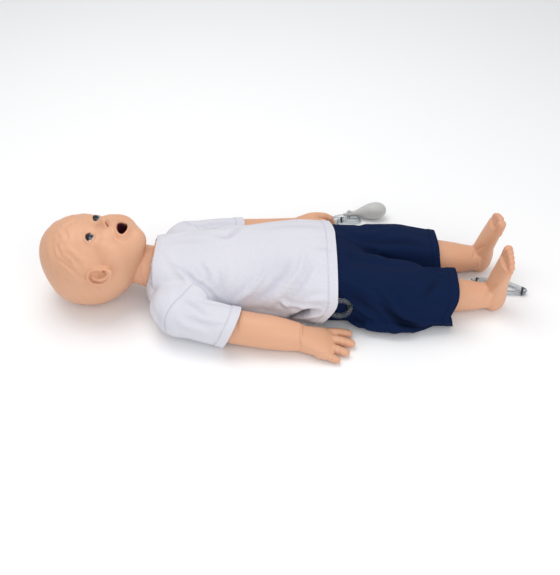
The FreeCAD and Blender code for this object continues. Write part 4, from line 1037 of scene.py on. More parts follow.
def make_arm(name, side, hand, body, node):
    bm = bmesh.new()
    rows = smooth_rows(arm_rows + [hand["wrist"]], 60)
    add_rings(bm, [limb_ring(x, y, z, r, -0.12) for x, y, z, r in rows])
    add_rings(bm, [palm_ring(*row) for row in smooth_rows(hand["palm"], 20)])
    disc = bmesh.ops.create_cone(bm, segments=64, radius1=21 * mm, radius2=21 * mm, depth=28 * mm,
                                 cap_ends=True)["verts"]
    bmesh.ops.rotate(bm, verts=disc, cent=(0, 0, 0), matrix=Matrix.Rotation(math.pi / 2, 3, "X"))
    bmesh.ops.translate(bm, verts=disc, vec=(-92 * mm, 77 * mm, 41 * mm))
    for start, knuckle, tip, r0, r1, r2 in hand["fingers"]:
        add_limb(bm, start, knuckle, r0, r1)
        add_limb(bm, knuckle, tip, r1, r2)
    bmesh.ops.bisect_plane(bm, geom=bm.verts[:] + bm.edges[:] + bm.faces[:], plane_co=(0, 63.1 * mm, 0),
                           plane_no=(0, -1, 0), clear_outer=True)
    bmesh.ops.holes_fill(bm, edges=[e for e in bm.edges if e.is_boundary])
    if side < 0:
        bmesh.ops.scale(bm, vec=(1, -1, 1), verts=bm.verts)
    arm = piece_from(bm, name)
    remesh(arm, 1.25, 4)
    p, n = flipped(points_of(arm), side), flipped(normals_of(arm), side)
    wrist_x, wrist_y, wrist_z, _ = hand["wrist"]
    groove = np.exp(-((p[:, 0] - wrist_x + 2 + 0.08 * (p[:, 1] - wrist_y)) / 1.7) ** 2)
    groove = groove * (0.35 + 0.65 * smooth_step(p[:, 2], wrist_z - 8, wrist_z + 8))
    second = 0.5 * np.exp(-((p[:, 0] - wrist_x + 9) / 2.2) ** 2)
    elbow = 0.8 * np.exp(-((p[:, 0] - 2 + 0.1 * (p[:, 2] - 40)) / 2.2) ** 2) * smooth_step(p[:, 2], 36, 52)
    push = -1.5 * groove - 0.6 * second - elbow
    creases = 0.0
    for start, knuckle, tip, r0, r1, r2 in hand["fingers"]:
        start, knuckle, tip = (np.array(v, float) for v in (start, knuckle, tip))
        for place, r in ((knuckle, r1), (tip * 0.45 + knuckle * 0.55, r2)):
            away = (tip - start) / np.linalg.norm(tip - start)
            offset = (p - place) @ away
            near = np.linalg.norm(p - place, axis=1) < r * 1.5
            line = np.exp(-(offset / 0.7) ** 2) * near
            push -= 0.45 * line
            creases = creases + line
        toward = (tip - knuckle) / np.linalg.norm(tip - knuckle)
        up = np.array((0, 0, 1.0)) if side < 0 else np.array((0, 0.75, 0.66))
        nail = tip + toward * r2 * 0.35 + (up - (up @ toward) * toward) * r2 * 0.9
        reach = np.linalg.norm((p - nail) / np.array((3.6, 3.2, 3.2)), axis=1)
        push += -0.35 * np.exp(-((reach - 1.0) / 0.16) ** 2)
    move_points(arm, flipped(p + n * push[:, None], side))
    soften(arm, 1)
    tips = sum(np.exp(-(np.linalg.norm(p - np.array(f[2], float), axis=1) / 9) ** 2) for f in hand["fingers"])
    # Painted shade in the wrist, knuckle and elbow creases.
    darker = 0.13 * groove * smooth_step(p[:, 2], 4, 12) + 0.16 * np.minimum(creases, 1) + 0.1 * elbow
    finish_skin(arm, body, node, darker, 0.35 * tips + 0.1)


make_arm("right_arm_vinyl", -1, right_hand, "right_arm", "arm_right")
make_arm("left_arm_vinyl", 1, left_hand, "left_arm", "arm_left")

# %% Legs
leg_rows = [(152, 44.5, 43, 36.6), (190, 46, 42, 36), (225, 45, 39, 34), (262, 43.5, 35, 31), (300, 41, 31.5, 29),
            (340, 38.5, 27.5, 25.5), (372, 36.5, 24.5, 21.4), (388, 36, 26, 20.2)]
foot_rows = [(2, 0, 9, 11), (7, 0, 14.5, 15.5), (18, 0, 18, 18), (34, -1.5, 19, 17.5), (54, -1, 15.5, 19),
             (76, 1.5, 11.5, 22), (92, 3, 9, 22.5)]
toe_rows = [(-14.5, 7.4, 112.0), (-4.0, 5.6, 112.5), (4.5, 5.2, 110.0), (12.0, 4.9, 106.5), (18.5, 4.6, 102.0)]


def make_leg(name, side, heel, lean, spread, body, node):
    lean_turn = Matrix.Rotation(math.radians(lean), 4, "Y")
    place_foot = Matrix.Translation(Vector(heel)) @ lean_turn
    bm = bmesh.new()
    rows = []
    for x, y, z, r in leg_rows:
        rows.append((x, y + spread * max(0.0, x - 200) / 196, z, r))
    add_rings(bm, [limb_ring(*row) for row in smooth_rows(rows, 60)])
    add_ball(bm, (150, 44.5, 43), (37, 37, 37), detail=5)
    rings = []
    for z, dx, half_x, half_y in smooth_rows(foot_rows, 30):
        rings.append([place_foot @ Vector((dx + half_x * math.cos(a), half_y * math.sin(a), z))
                      for a in ring_angles(40)])
    add_rings(bm, rings)
    toes = []
    for y, radius, tip in toe_rows:
        root, end = place_foot @ Vector((4, y, 88)), place_foot @ Vector((5, y, tip - radius))
        add_limb(bm, root, end, radius + 0.4, radius)
        toes.append((np.array(end), radius))
    if side < 0:
        bmesh.ops.scale(bm, vec=(1, -1, 1), verts=bm.verts)
    leg = piece_from(bm, name)
    remesh(leg, 1.3, 3)
    p = flipped(points_of(leg), side)
    n = flipped(normals_of(leg), side)
    toe_zone = np.zeros(len(p))
    for end, radius in toes:
        toe_zone = np.maximum(toe_zone, np.exp(-(np.linalg.norm(p - end, axis=1) / 14) ** 2))
    soften(leg, 5, share=1 - np.clip(toe_zone * 1.6, 0, 1))
    p = flipped(points_of(leg), side)
    local = (p - np.array(heel, float)) @ np.array(lean_turn.to_3x3())
    ankle = (np.exp(-((local[:, 0] + 19 - 0.42 * (local[:, 2] - 38)) / 2.3) ** 2) * smooth_step(local[:, 2], 28, 40)
             * smooth_step(66 - local[:, 2], 0, 10))
    knee_y = 42.0 + spread * 0.35
    knee = stroke(p, (268, knee_y - 16, 62), (268, knee_y + 18, 60), 3.0, 1.3)
    knee = knee + stroke(p, (279, knee_y - 14, 60), (279, knee_y + 14, 59), 3.0, 0.9)
    thigh = stroke(p, (228, knee_y - 30, 58), (228, knee_y + 26, 62), 2.6, 1.1)
    cap = bump(p, (290, knee_y, 64), (13, 14, 10))
    toe_root = np.exp(-((local[:, 2] - 92) / 1.4) ** 2) * smooth_step(local[:, 0], -12, 14)
    sole = bump(local, (17, -8, 56), (8, 9, 15))
    push = -1.5 * ankle - knee - thigh + 1.6 * cap - 0.8 * toe_root - 2.0 * sole
    for end, radius in toes:
        d = (p - end) @ np.array(lean_turn.to_3x3())
        away, nail = np.linalg.norm(d, axis=1), radius * 0.62
        reach = np.sqrt((d[:, 1] / nail) ** 2 + ((d[:, 2] - radius * 0.35) / nail) ** 2)
        push -= 0.35 * np.exp(-((reach - 1.0) / 0.18) ** 2) * (d[:, 0] < 0) * (away < radius * 1.6)
        push -= (0.5 * np.exp(-((d[:, 2] + radius * 1.1) / 0.8) ** 2) * (np.abs(d[:, 1]) < radius)
                 * (away < radius * 2.2))
    moved = p + n * push[:, None]
    moved[:, 2] = np.maximum(moved[:, 2], 0.2)
    move_points(leg, flipped(moved, side))
    flush = 0.5 * toe_zone + 0.35 * bump(local, (6, 0, 6), (18, 18, 12)) + 0.25 * cap
    # Painted shade in the ankle, toe-root, knee and thigh creases.
    finish_skin(leg, body, node, 0.12 * ankle + 0.1 * toe_root + 0.15 * (knee + thigh), flush + 0.08)


make_leg("right_leg_vinyl", -1, (396, 35, -1.3), 3.0, 0.0, "right_leg", "leg_right")
make_leg("left_leg_vinyl", 1, (390, 56, 0), 8.0, 20.0, "left_leg", "leg_left")

# %% [markdown]
# ## Shirt
# A small knitted T-shirt. Cloth on a doll bridges from the trunk to the arms and lies on the floor beside
# them, so its form is blocked in like clay: trunk, neck, shoulders and sleeves are pushed into one
# another, joined by a voxel remesh and smoothed. Then it is cut open at neck, hems and armholes, and
# folds are laid on it along lines, a ridge with a small valley on each side.

# %% Cloth finishes
def knit(name, light, shade, tone, depth):
    """Cloth of three close colours, darker at hems, with painted shade in folds and a near-black painted shadow in
    gaps, and a fine weave as relief.
    """
    cloth = Finish(name, light, 0.86)
    cloth.shader.inputs["Specular IOR Level"].default_value = 0.12
    slow = cloth.noise(14, 4)
    fuzz = cloth.noise(420, 3)
    hem = cloth.attribute("hem")
    shadow = cloth.attribute("shadow")
    hollow = cloth.attribute("hollow")
    base = cloth.mix(slow, light, tone)
    worn = cloth.mix(fuzz * 0.3, base, shade)
    lines = cloth.mix(hem * 0.6, worn, shade)
    # Painted shade in the folds, then a near-black painted shadow where the cloth leaves a gap.
    shaded = cloth.mix(shadow * 0.6, lines, shade)
    cloth.colour(cloth.mix(hollow, shaded, (0.035, 0.022, 0.024)))
    cloth.roughness(fuzz * 0.12 + 0.80)
    along = cloth.wave(310, "X", 0.6)
    round_y = cloth.wave(230, "Y", 0.8)
    round_z = cloth.wave(230, "Z", 0.8)
    ribs = cloth.node("ShaderNodeMath", {"operation": "SINE"}, {0: cloth.attribute("turn") * (2 * math.pi * 112)})
    height = along * 0.3 + round_y * 0.2 + round_z * 0.2 + fuzz * 0.3 - hem * 1.2
    height = height + ribs * cloth.attribute("rib") * 0.8
    cloth.relief(height, depth, 0.7)
    return cloth


shirt_finish = knit("white_knit", (0.745, 0.735, 0.765), (0.40, 0.39, 0.50), (0.69, 0.695, 0.755), 0.22)
shorts_finish = knit("navy_twill", (0.0022, 0.0105, 0.046), (0.0008, 0.003, 0.014), (0.0034, 0.0145, 0.060), 0.20)

cloth_voxel, cloth_wall, body_gap, cloth_low = 1.6, 0.9, 1.3, 0.95
shirt_hem_x, waist_x, hip_seam_x, shorts_hem_x = 146, 108, 161.4, 323
press_x = -5  # where the breastbone is pressed

# The trunk's sections: place, half width, lowest, highest, and how far the shirt's hem widens there, 0 to 1
trunk_stations = [(-132, 36.8, 22, 90, 0.0), (-127, 51.6, 12, 92, 0.0), (-116, 61.4, 2, 94, 0.0),
                  (-92, 61.4, -2, 95, 0.0), (-60, 62.9, -2, 99, 0.0), (-20, 71.4, -2, 101, 0.0),
                  (20, 75.4, -2, 104, 0.05), (60, 78.5, -2, 106, 0.2), (100, 80.5, -2, 105, 0.7),
                  (125, 82, -2, 101, 0.95), (146, 82, -2, 97, 1.0), (176, 82, -2, 92, 1.0)]


def power(values, exponent):
    return np.sign(values) * np.abs(values) ** exponent


def trunk_ring(row, angles, ease, hem_ease):
    """One section of the trunk, moved outward by the ease of the cloth."""
    x, half_width, low, high, share = row
    side = ease + (hem_ease - ease) * share
    top = ease + (hem_ease - ease) * share * 0.3
    middle = low + 0.46 * (high - low)
    c, s = np.cos(angles), np.sin(angles)
    across = (half_width + side) * power(c, 0.86)
    above = middle + (high - middle + top) * power(s, 0.90)
    below = middle + (middle - low + ease) * power(s, 0.62)
    return np.stack([np.full_like(c, x), across, np.maximum(np.where(s >= 0, above, below), 0.9)], axis=1)


def trunk_columns(x):
    """The trunk's half width, lowest, highest and hem share at one or more places along it."""
    table = np.array(trunk_stations, float)
    return [np.interp(x, table[:, 0], table[:, k]) for k in range(1, 5)]


def trunk_rings(first, last, count, ease, hem_ease):
    places = np.linspace(first, last, count)
    columns = trunk_columns(places)
    columns = [np.convolve(np.pad(c, 4, mode="edge"), np.ones(9) / 9, mode="valid") for c in columns]
    angles = ring_angles(132)
    return [trunk_ring(row, angles, ease, hem_ease) for row in np.stack([places] + columns, axis=1)]


def lift_off(piece, bodies, gap):
    """Keeps a garment at least gap millimetres outside the bodies under it."""
    verts, faces = [], []
    for body in bodies:
        faces += [[i + len(verts) for i in f.vertices] for f in body.data.polygons]
        verts += [v.co.copy() for v in body.data.vertices]
    under = BVHTree.FromPolygons(verts, faces)
    points, moved = points_of(piece), 0
    for i, point in enumerate(points):
        hit, normal, _, _ = under.find_nearest(Vector(point) * mm, 0.012)
        if hit is None:
            continue
        depth = gap - (Vector(point) * mm - hit).dot(normal) / mm
        if depth > 0:
            points[i] += np.array(normal) * min(depth, 8.0)
            moved += 1
    points[:, 2] = np.maximum(points[:, 2], cloth_low)
    move_points(piece, points)
    print(piece.name, "points lifted off the body:", moved)


def give_wall(piece, thickness):
    """The sheet's thickness, inwards. Its cut edges stay crisp."""
    bm = opened(piece)
    for edge in bm.edges:
        edge.smooth = not edge.is_boundary
    write_back(bm, piece)
    wall = piece.modifiers.new("wall", "SOLIDIFY")
    wall.thickness = thickness * mm
    wall.offset = -1
    wall.use_even_offset = False


def cut(bm, point, normal, zone=None, clear=True):
    """Slices a mesh along a plane, only where zone says, and takes away what lies ahead of the plane."""
    faces = [f for f in bm.faces if zone is None or zone(f.calc_center_median() / mm)]
    verts = list({v for f in faces for v in f.verts})
    edges = list({e for f in faces for e in f.edges})
    bmesh.ops.bisect_plane(bm, geom=verts + edges + faces, plane_co=Vector(point) * mm, plane_no=normal,
                           clear_outer=False)
    if clear:
        ahead = [f for f in bm.faces if (f.calc_center_median() / mm - Vector(point)).dot(Vector(normal)) > 0
                 and (zone is None or zone(f.calc_center_median() / mm))]
        bmesh.ops.delete(bm, geom=ahead, context="FACES")


def cloth_part(whole, name, belongs):
    """The faces of a whole garment that belong to one of its pieces."""
    bm = opened(whole)
    others = [f for f in bm.faces if not belongs(f.calc_center_median() / mm)]
    bmesh.ops.delete(bm, geom=others, context="FACES")
    part = new_piece(bm, name)
    print(name, "faces", len(part.data.polygons))
    return part


# %% Shirt form
bm = bmesh.new()
add_rings(bm, trunk_rings(-128.5, 168, 120, 3.3, 14.0))
add_rings(bm, [[(x, 36.2 * math.cos(a), z + 36.2 * math.sin(a)) for a in ring_angles(72)]
               for x, z in ((-166, 60), (-152, 57.5), (-140, 54.5), (-126, 51.8), (-112, 50))])
add_ball(bm, (-113, 0, 35), (34, 74, 33), detail=5)
add_ball(bm, (-97, -77, 40), (34, 38, 35), detail=5)
add_ball(bm, (-85, -88, 24), (37, 33, 22), detail=5)
add_ball(bm, (-94, 74, 42), (33, 36, 31), detail=5)
add_ball(bm, (-76, 68, 46), (36, 24, 33), detail=5)
add_ball(bm, (-72, -70, 46), (36, 24, 31), detail=5)
for side, ease, shift in ((-1, 6.0, 3.0), (1, 2.4, -0.4)):
    rows = smooth_rows([(-116, 86, 41, 9), (-108, 88, 41, 19), (-97, 90, 40, 24), (-80, 93, 38.5, 25),
                        (-52, 100, 36, 25.5), (-8, 109, 31.2, 26), (22, 114, 28.5, 25.5)], 60)
    rings = []
    for x, y, z, r in rows:
        ring = np.array(limb_ring(x, y + shift, z, r + ease, -0.12, 72))
        ring[:, 1] *= side
        ring[:, 2] = np.maximum(ring[:, 2], 0.9)
        rings.append(ring)
    add_rings(bm, rings)
shirt = piece_from(bm, "shirt_form")
remesh(shirt, cloth_voxel, 12)
x = points_of(shirt)[:, 0]
soften(shirt, 60, share=smooth_step(-x, 34, 74) * smooth_step(x, -124, -108), keep_size=False)

# %% Open the shirt at its neck and hems
def at_sleeve(c):
    """True on the arm's side of the armhole."""
    return c.x < 40 and abs(c.y) > np.interp(c.x, [-60, -40, -20, 12, 40], [66.2, 70.2, 76.8, 80.2, 84.5])


hem_tilt = math.radians(25)
sleeve_hems = {side: Vector((math.cos(hem_tilt), side * 0.17, -math.sin(hem_tilt))).normalized() for side in (-1, 1)}
sleeve_ends = {side: (-7, side * 106, 32) for side in (-1, 1)}
neck_edge, neck_way = Vector((-128.5, 0, 88)), Vector((-1, 0, 0.30)).normalized()
bm = opened(shirt)
cut(bm, (shirt_hem_x, 0, 0), (1, 0, 0))
cut(bm, neck_edge, neck_way, lambda c: c.x < -100)
for side in (-1, 1):
    cut(bm, sleeve_ends[side], sleeve_hems[side], lambda c: at_sleeve(c) and c.x > -50 and c.y * side > 0)
bmesh.ops.delete(bm, geom=[v for v in bm.verts if not v.link_faces], context="VERTS")
write_back(bm, shirt)
p = points_of(shirt)
from_hem = shirt_hem_x - p[:, 0]
on_sleeve = np.array([at_sleeve(Vector(row)) for row in p])
right_hem, left_hem = [(np.array(sleeve_ends[side]) - p) @ np.array(sleeve_hems[side]) for side in (-1, 1)]
from_sleeve_hem = np.where(p[:, 1] < 0, right_hem, left_hem)
from_neck = (np.array(neck_edge) - p) @ np.array(neck_way)
hem_zone = smooth_step(p[:, 0], 96, shirt_hem_x) * ~on_sleeve
low = smooth_step(64 - p[:, 2], 0, 62)
p[:, 0] -= 27 * hem_zone * low * smooth_step(-p[:, 1], -60, 60) + 16 * hem_zone * low * smooth_step(p[:, 1], -60, 60)
p[:, 0] += hem_zone * (2.2 - 6.5 * smooth_step(p[:, 1], 20, 78))
move_points(shirt, p)

# %% Folds of the shirt
hollow_fold = ([(79, -90, 26), (92, -92, 35), (104, -93, 44), (118, -94, 46)], 4.2, -6.0)
shirt_folds = [
    ([(-97, -39, 90), (-84, -46, 86), (-71, -54, 79), (-53, -65, 67), (-38, -71, 56), (-24, -74, 47)], 3.4, -1.9),
    ([(-109, -17, 97), (-98, -33, 92), (-86, -48, 86), (-74, -62, 76)], 5.0, 1.8),
    ([(-5, -77, 45), (5, -77, 56), (16, -76, 67), (27, -72, 78), (34, -68, 85), (41, -59, 94), (46, -52, 99)],
     4.4, 2.9),
    ([(45, -82, 44), (56, -83, 59), (68, -81, 73), (78, -75, 85), (85, -69, 92), (93, -58, 100), (97, -42, 106),
      (101, -21, 110)],
     4.8, 3.3),
    ([(16, -79, 47), (28, -79, 58), (40, -79, 67), (53, -75, 80), (66, -67, 91), (75, -54, 101), (78, -42, 106)],
     5.4, -1.9),
    ([(75, -86, 60), (87, -84, 74), (97, -77, 86), (106, -64, 97), (109, -42, 106)], 4.6, -1.8),
    ([(62, -84, 60), (69, -86, 54), (77, -88, 47)], 4.0, 3.0),
    hollow_fold,
    ([(68, -86, 54), (90, -90, 52), (104, -92, 53), (118, -94, 54)], 3.2, 2.4),
    ([(98, -94, 27), (112, -95, 36), (128, -95, 44)], 4.2, 2.6),
    ([(96, -92, 56), (112, -93, 66), (132, -93, 68)], 4.5, 2.6),
    ([(-64, -64, 60), (-56, -68, 58), (-48, -74, 54), (-39, -80, 50)], 3.2, -2.0),
    ([(-87, -117, 55), (-73, -121, 47), (-55, -129, 45), (-42, -133, 40)], 4.8, 2.0),
    ([(-76, -90, 66), (-68, -97, 65), (-53, -110, 65), (-43, -119, 62)], 4.2, -1.9),
    ([(-104, -58, 82), (-98, -80, 74), (-90, -100, 58)], 5.0, 0.9),
    ([(-122, -66, 50), (-112, -94, 40), (-92, -116, 28)], 4.8, 1.8),
    ([(-60, -84, 66), (-36, -90, 60), (-14, -92, 58)], 4.0, 1.6),
    ([(-70, -112, 52), (-40, -122, 48), (-16, -124, 48)], 4.4, -1.4),
    ([(-56, -38, 95), (-46, -52, 87), (-44, -64, 74)], 4.0, -1.3),
    ([(-27, -52, 91), (-25, -63, 81), (-27, -71, 64)], 4.0, -1.2),
    ([(-14, -40, 99), (-12, -60, 88), (-16, -72, 62)], 4.2, 1.2),
    ([(-32, 16, 102), (-18, 12, 104), (-9, 24, 104), (2, 40, 100)], 5.4, -2.2),
    ([(-30, 56, 92), (-14, 66, 86), (4, 62, 92)], 5.2, 2.4),
    ([(-60, 44, 92), (-30, 30, 99), (10, 34, 102)], 6.0, 1.5),
    ([(30, 60, 94), (70, 66, 94), (120, 60, 96)], 6.0, 1.6),
    ([(40, 30, 104), (90, 36, 106), (138, 34, 100)], 7.0, -1.2),
    ([(112, -58, 99), (124, -58, 97), (140, -60, 93)], 5.0, 1.5),
    ([(116, -20, 106), (130, -20, 103), (142, -22, 100)], 5.0, -1.1),
    ([(-118, 20, 96), (-96, 34, 94), (-70, 44, 90)], 5.0, 1.4),
    ([(-110, 6, 98), (-80, 8, 98), (-44, -2, 101)], 7.0, -0.8),
    ([(-50, 76, 40), (10, 82, 40), (70, 88, 38)], 6.0, 2.0),
    ([(-20, 76, 62), (40, 80, 66), (110, 90, 62)], 6.0, -1.8),
    ([(20, 80, 22), (70, 90, 20), (120, 96, 18)], 6.0, 2.2),
    ([(-110, 96, 60), (-80, 112, 50), (-40, 126, 44)], 4.6, 1.7),
    ([(-100, 112, 40), (-60, 126, 30), (-20, 134, 24)], 4.6, 1.6),
    ([(-84, 84, 66), (-50, 96, 60), (-14, 102, 57)], 4.2, -1.5),
    ([(-4, -79, 26), (36, -84, 28), (84, -90, 22)], 5.0, 2.0),
    ([(10, -80, 14), (60, -86, 14), (100, -94, 14)], 5.0, -1.8)]
shadow = fold(shirt, shirt_folds)
soften(shirt, 2)
lift_off(shirt, [skins["arm_right"], skins["arm_left"], neck, nodes["chest_skin"], nodes["back_shell"]], body_gap)
p, n = points_of(shirt), normals_of(shirt)
seam_way, seam_place = np.array((0.80, -0.60, 0)), np.array((-64, -63, 66))
near_seam = (p - seam_place) @ seam_way
far_seam = (p * np.array((1, -1, 1)) - seam_place) @ seam_way
near_arm = on_sleeve & (p[:, 0] < -55)
seam = np.exp(-near_seam ** 2) * (near_arm & (p[:, 1] < 0))
seam = seam + np.exp(-far_seam ** 2) * (near_arm & (p[:, 1] > 0))
hem_edge = np.where(on_sleeve, from_sleeve_hem, from_hem)
stitch = np.exp(-((hem_edge - 13.5) / 1.1) ** 2)
push = 0.7 * smooth_step(14 - hem_edge, 0, 1.8) - 0.45 * stitch - 0.7 * seam
push += 0.7 * smooth_step(10 - from_neck, 0, 1.6)
push += 0.3 * np.sin((p[:, 1] + 0.7 * p[:, 2]) * 0.9) * np.exp(-((hem_edge - 13.0) / 3.0) ** 2)
push -= 0.4 * np.exp(-((from_neck - 10.4) / 1.0) ** 2)
p = p + n * push[:, None]
p[:, 2] = np.maximum(p[:, 2], cloth_low)
move_points(shirt, p)
# Painted shadow, near-black, in the gap under the hem where the hollow fold runs.
hollow = np.zeros(len(p))
corners = hollow_fold[0][:3]
for start, end in zip(corners, corners[1:]):
    distance, share = line_near(p * (1, 0, 1), (start[0], 0, start[2]), (end[0], 0, end[2]))
    hollow = np.maximum(hollow, np.exp(-(distance / 4.6) ** 2) * (p[:, 1] < -60) * ~on_sleeve)
# Painted shade over the belly, laid in with the fold shadow.
belly = 0.30 * bump(p, (62, -56, 98), (38, 26, 24))
dashes = 0.6 + 0.4 * np.sign(np.sin((p[:, 1] + p[:, 2]) * 2.2))
paint(shirt, "hem", np.maximum(stitch * dashes, 0.9 * seam))
paint(shirt, "shadow", 0.85 * shadow + belly)
paint(shirt, "hollow", 0.80 * hollow)
paint(shirt, "rib", smooth_step(10 - from_neck, 0, 0.8))
paint(shirt, "turn", (np.arctan2(p[:, 2] - 55, p[:, 1]) / math.pi + 1) / 2)

# %% Cut the shirt into its pieces
# The chest sinks under the rescuer's fingers and the cloth with it. The shirt is cut into collar,
# sleeves and two body halves that meet above the breastbone.
bm = opened(shirt)
for side in (-1, 1):
    cut(bm, (0, side * 66, 0), (0, side, 0), lambda c: c.x < -54 and c.y * side > 50, clear=False)
cut(bm, neck_edge - neck_way * 10, neck_way, lambda c: c.x < -100, clear=False)
cut(bm, (press_x, 0, 0), (1, 0, 0), lambda c: not at_sleeve(c), clear=False)
write_back(bm, shirt)


def at_collar(c):
    return (c - neck_edge).dot(neck_way) > -10 and abs(c.y) < 66


def bend_to_chest(piece):
    """Bakes the piece's placement into its mesh."""
    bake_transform(piece)


for side, name, length in ((-1, "shirt_body_upper", 0.150), (1, "shirt_body_lower", 0.155)):
    half = cloth_part(shirt, name, lambda c: not at_sleeve(c) and not at_collar(c) and (c.x - press_x) * side > 0)
    give_wall(half, cloth_wall)
    shirt_finish.on(half)
    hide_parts("shirt_body")
    bend_to_chest(half)
collar = cloth_part(shirt, "collar_rib", at_collar)
give_wall(collar, 1.1)
shirt_finish.on(collar)
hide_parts("shirt_collar")
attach(collar, "torso")
for side, name, body, node in ((-1, "sleeve_right_knit", "right_arm", "sleeve_right"),
                               (1, "sleeve_left_knit", "left_arm", "sleeve_left")):
    sleeve = cloth_part(shirt, name, lambda c: at_sleeve(c) and c.y * side > 0)
    give_wall(sleeve, cloth_wall)
    shirt_finish.on(sleeve)
    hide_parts(node)
    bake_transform(sleeve)
bpy.data.objects.remove(shirt)

# %% Side panels of the shirt
# They lie under the sleeves, against the trunk, and are seen only when an arm is raised.
panel_angles, panel_ease = np.linspace(-1.25, 0.25, 28), 1.2
longest_face = 40e-6  # square metres; larger ones close the open strip and are taken out
for side, name in ((-1, "shirt_side_right"), (1, "shirt_side_left")):
    bm = bmesh.new()
    rings = []
    for x in np.linspace(-66, 38, 54):
        rings.append(trunk_ring([x] + trunk_columns(x), panel_angles, panel_ease, panel_ease) * (1, side, 1))
    add_rings(bm, rings, closed_ends=False)
    bmesh.ops.delete(bm, geom=[f for f in bm.faces if f.calc_area() > longest_face], context="FACES")
    panel = piece_from(bm, name)
    for attribute in ("hem", "shadow", "hollow", "rib", "turn"):
        paint(panel, attribute, np.zeros(len(panel.data.vertices)))
    if sum(f.normal.y * side * f.area for f in panel.data.polygons) < 0:
        panel.data.flip_normals()
    give_wall(panel, 0.8)
    shirt_finish.on(panel)
    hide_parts("shirt_body")
    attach(panel, "torso")

# %% Chest skin under the shirt
for side, name in ((-1, "chest_skin_upper"), (1, "chest_skin_lower")):
    bm = opened(nodes["chest_skin"])
    bmesh.ops.remove_doubles(bm, verts=bm.verts, dist=1e-5)
    cut(bm, (press_x, 0, 0), (-side, 0, 0))
    half = new_piece(bm, name)
    shade_smooth(half)
    for attribute, value in (("flush", 0.05), ("painted_shade", 0.0), ("lining", 0.0)):
        paint(half, attribute, np.full(len(half.data.vertices), value))
    skin_finish.on(half)
    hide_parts("chest_skin")
    bend_to_chest(half)

# %% Airway hose
# The construction tube's own shape, copied into a piece of its own.
hose = new_piece(opened(nodes["airway_tube"]), "airway_hose")
shade_smooth(hose)
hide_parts("airway_tube")
bend_to_chest(hose)

# %% [markdown]
# ## Shorts
# Navy shorts of a firmer woven cotton, made the same way: a hip tube and two wide leg tubes joined into
# one form, with hems that are turned up and stitched. The deepest fold hangs along the near leg, where the
# floor pushes the cloth up; shallow ones spread from the crotch and over the thighs.

# %% Shorts form
shorts_rows = [(136, 44.6, 39.4, 92.0, 0.0, 0.0), (161.4, 44.6, 39.8, 91.0, 0.0, 0.0),
               (182, 45, 41.5, 88.5, 0.3, 0.4), (208, 49, 43.5, 85, 0.9, 0.9), (245, 52, 45.5, 81, 1.2, 1.5),
               (286, 50.5, 44, 77, 1.4, 2.1), (340, 50, 43.5, 75, 1.5, 2.6)]
bm = bmesh.new()
add_rings(bm, trunk_rings(106, 166, 40, 1.3, 1.3))
for side in (-1, 1):
    rings = []
    around = ring_angles(120)
    for x, y, half_y, top, wave, turn in smooth_rows(shorts_rows, 90):
        middle = 0.44 * top
        c, s = np.cos(around), np.sin(around)
        ripple = wave * np.cos(5 * around + turn)
        across = (half_y + ripple) * power(c, 0.85)
        up = np.where(s >= 0, (top - middle + ripple) * power(s, 0.95), (middle + 1.5) * power(s, 0.72))
        rings.append(np.stack([np.full_like(c, x), side * (y + across), np.maximum(middle + up, 0.9)], axis=1))
    add_rings(bm, rings)
add_ball(bm, (162, 0, 56), (40, 44, 36), detail=5)
add_ball(bm, (196, -17, 61), (46, 22, 27), detail=5)
add_ball(bm, (226, -21, 57), (60, 21, 25), detail=5)
add_ball(bm, (236, -70, 16), (74, 36.5, 17), detail=5)
shorts = piece_from(bm, "shorts_form")
remesh(shorts, cloth_voxel, 12)
p = points_of(shorts)
crotch = smooth_step(p[:, 0], 136, 160) * smooth_step(280 - p[:, 0], 0, 50)
crotch = crotch * smooth_step(60 - np.abs(p[:, 1]), 0, 30) * smooth_step(p[:, 2], 36, 56)
soften(shorts, 60, share=crotch, keep_size=False)
bm = opened(shorts)
cut(bm, (shorts_hem_x, 0, 0), (1, 0, 0))
cut(bm, (waist_x, 0, 0), (-1, 0, 0))
bmesh.ops.delete(bm, geom=[v for v in bm.verts if not v.link_faces], context="VERTS")
write_back(bm, shorts)
p = points_of(shorts)
from_hem = shorts_hem_x - p[:, 0]
hem_zone = smooth_step(p[:, 0], 240, shorts_hem_x)
right_side = p[:, 1] < 0
right_shift = np.interp(p[:, 2], [1, 12, 30, 60, 76], [6.0, 1.5, -6.0, 4.0, 7.0])
left_shift = np.interp(p[:, 2], [1, 40, 76], [-3.0, -5.0, -8.0])
p[:, 0] += hem_zone * np.where(right_side, right_shift, left_shift)
p[:, 2] -= 0.10 * p[:, 2] * smooth_step(p[:, 0], 250, shorts_hem_x) * smooth_step(p[:, 2], 40, 60) * ~right_side
flare = smooth_step(p[:, 0], 280, 328) * smooth_step(20 - p[:, 2], 0, 18) * smooth_step(-p[:, 1], 84, 92)
p[:, 1] -= 3.0 * flare
move_points(shorts, p)

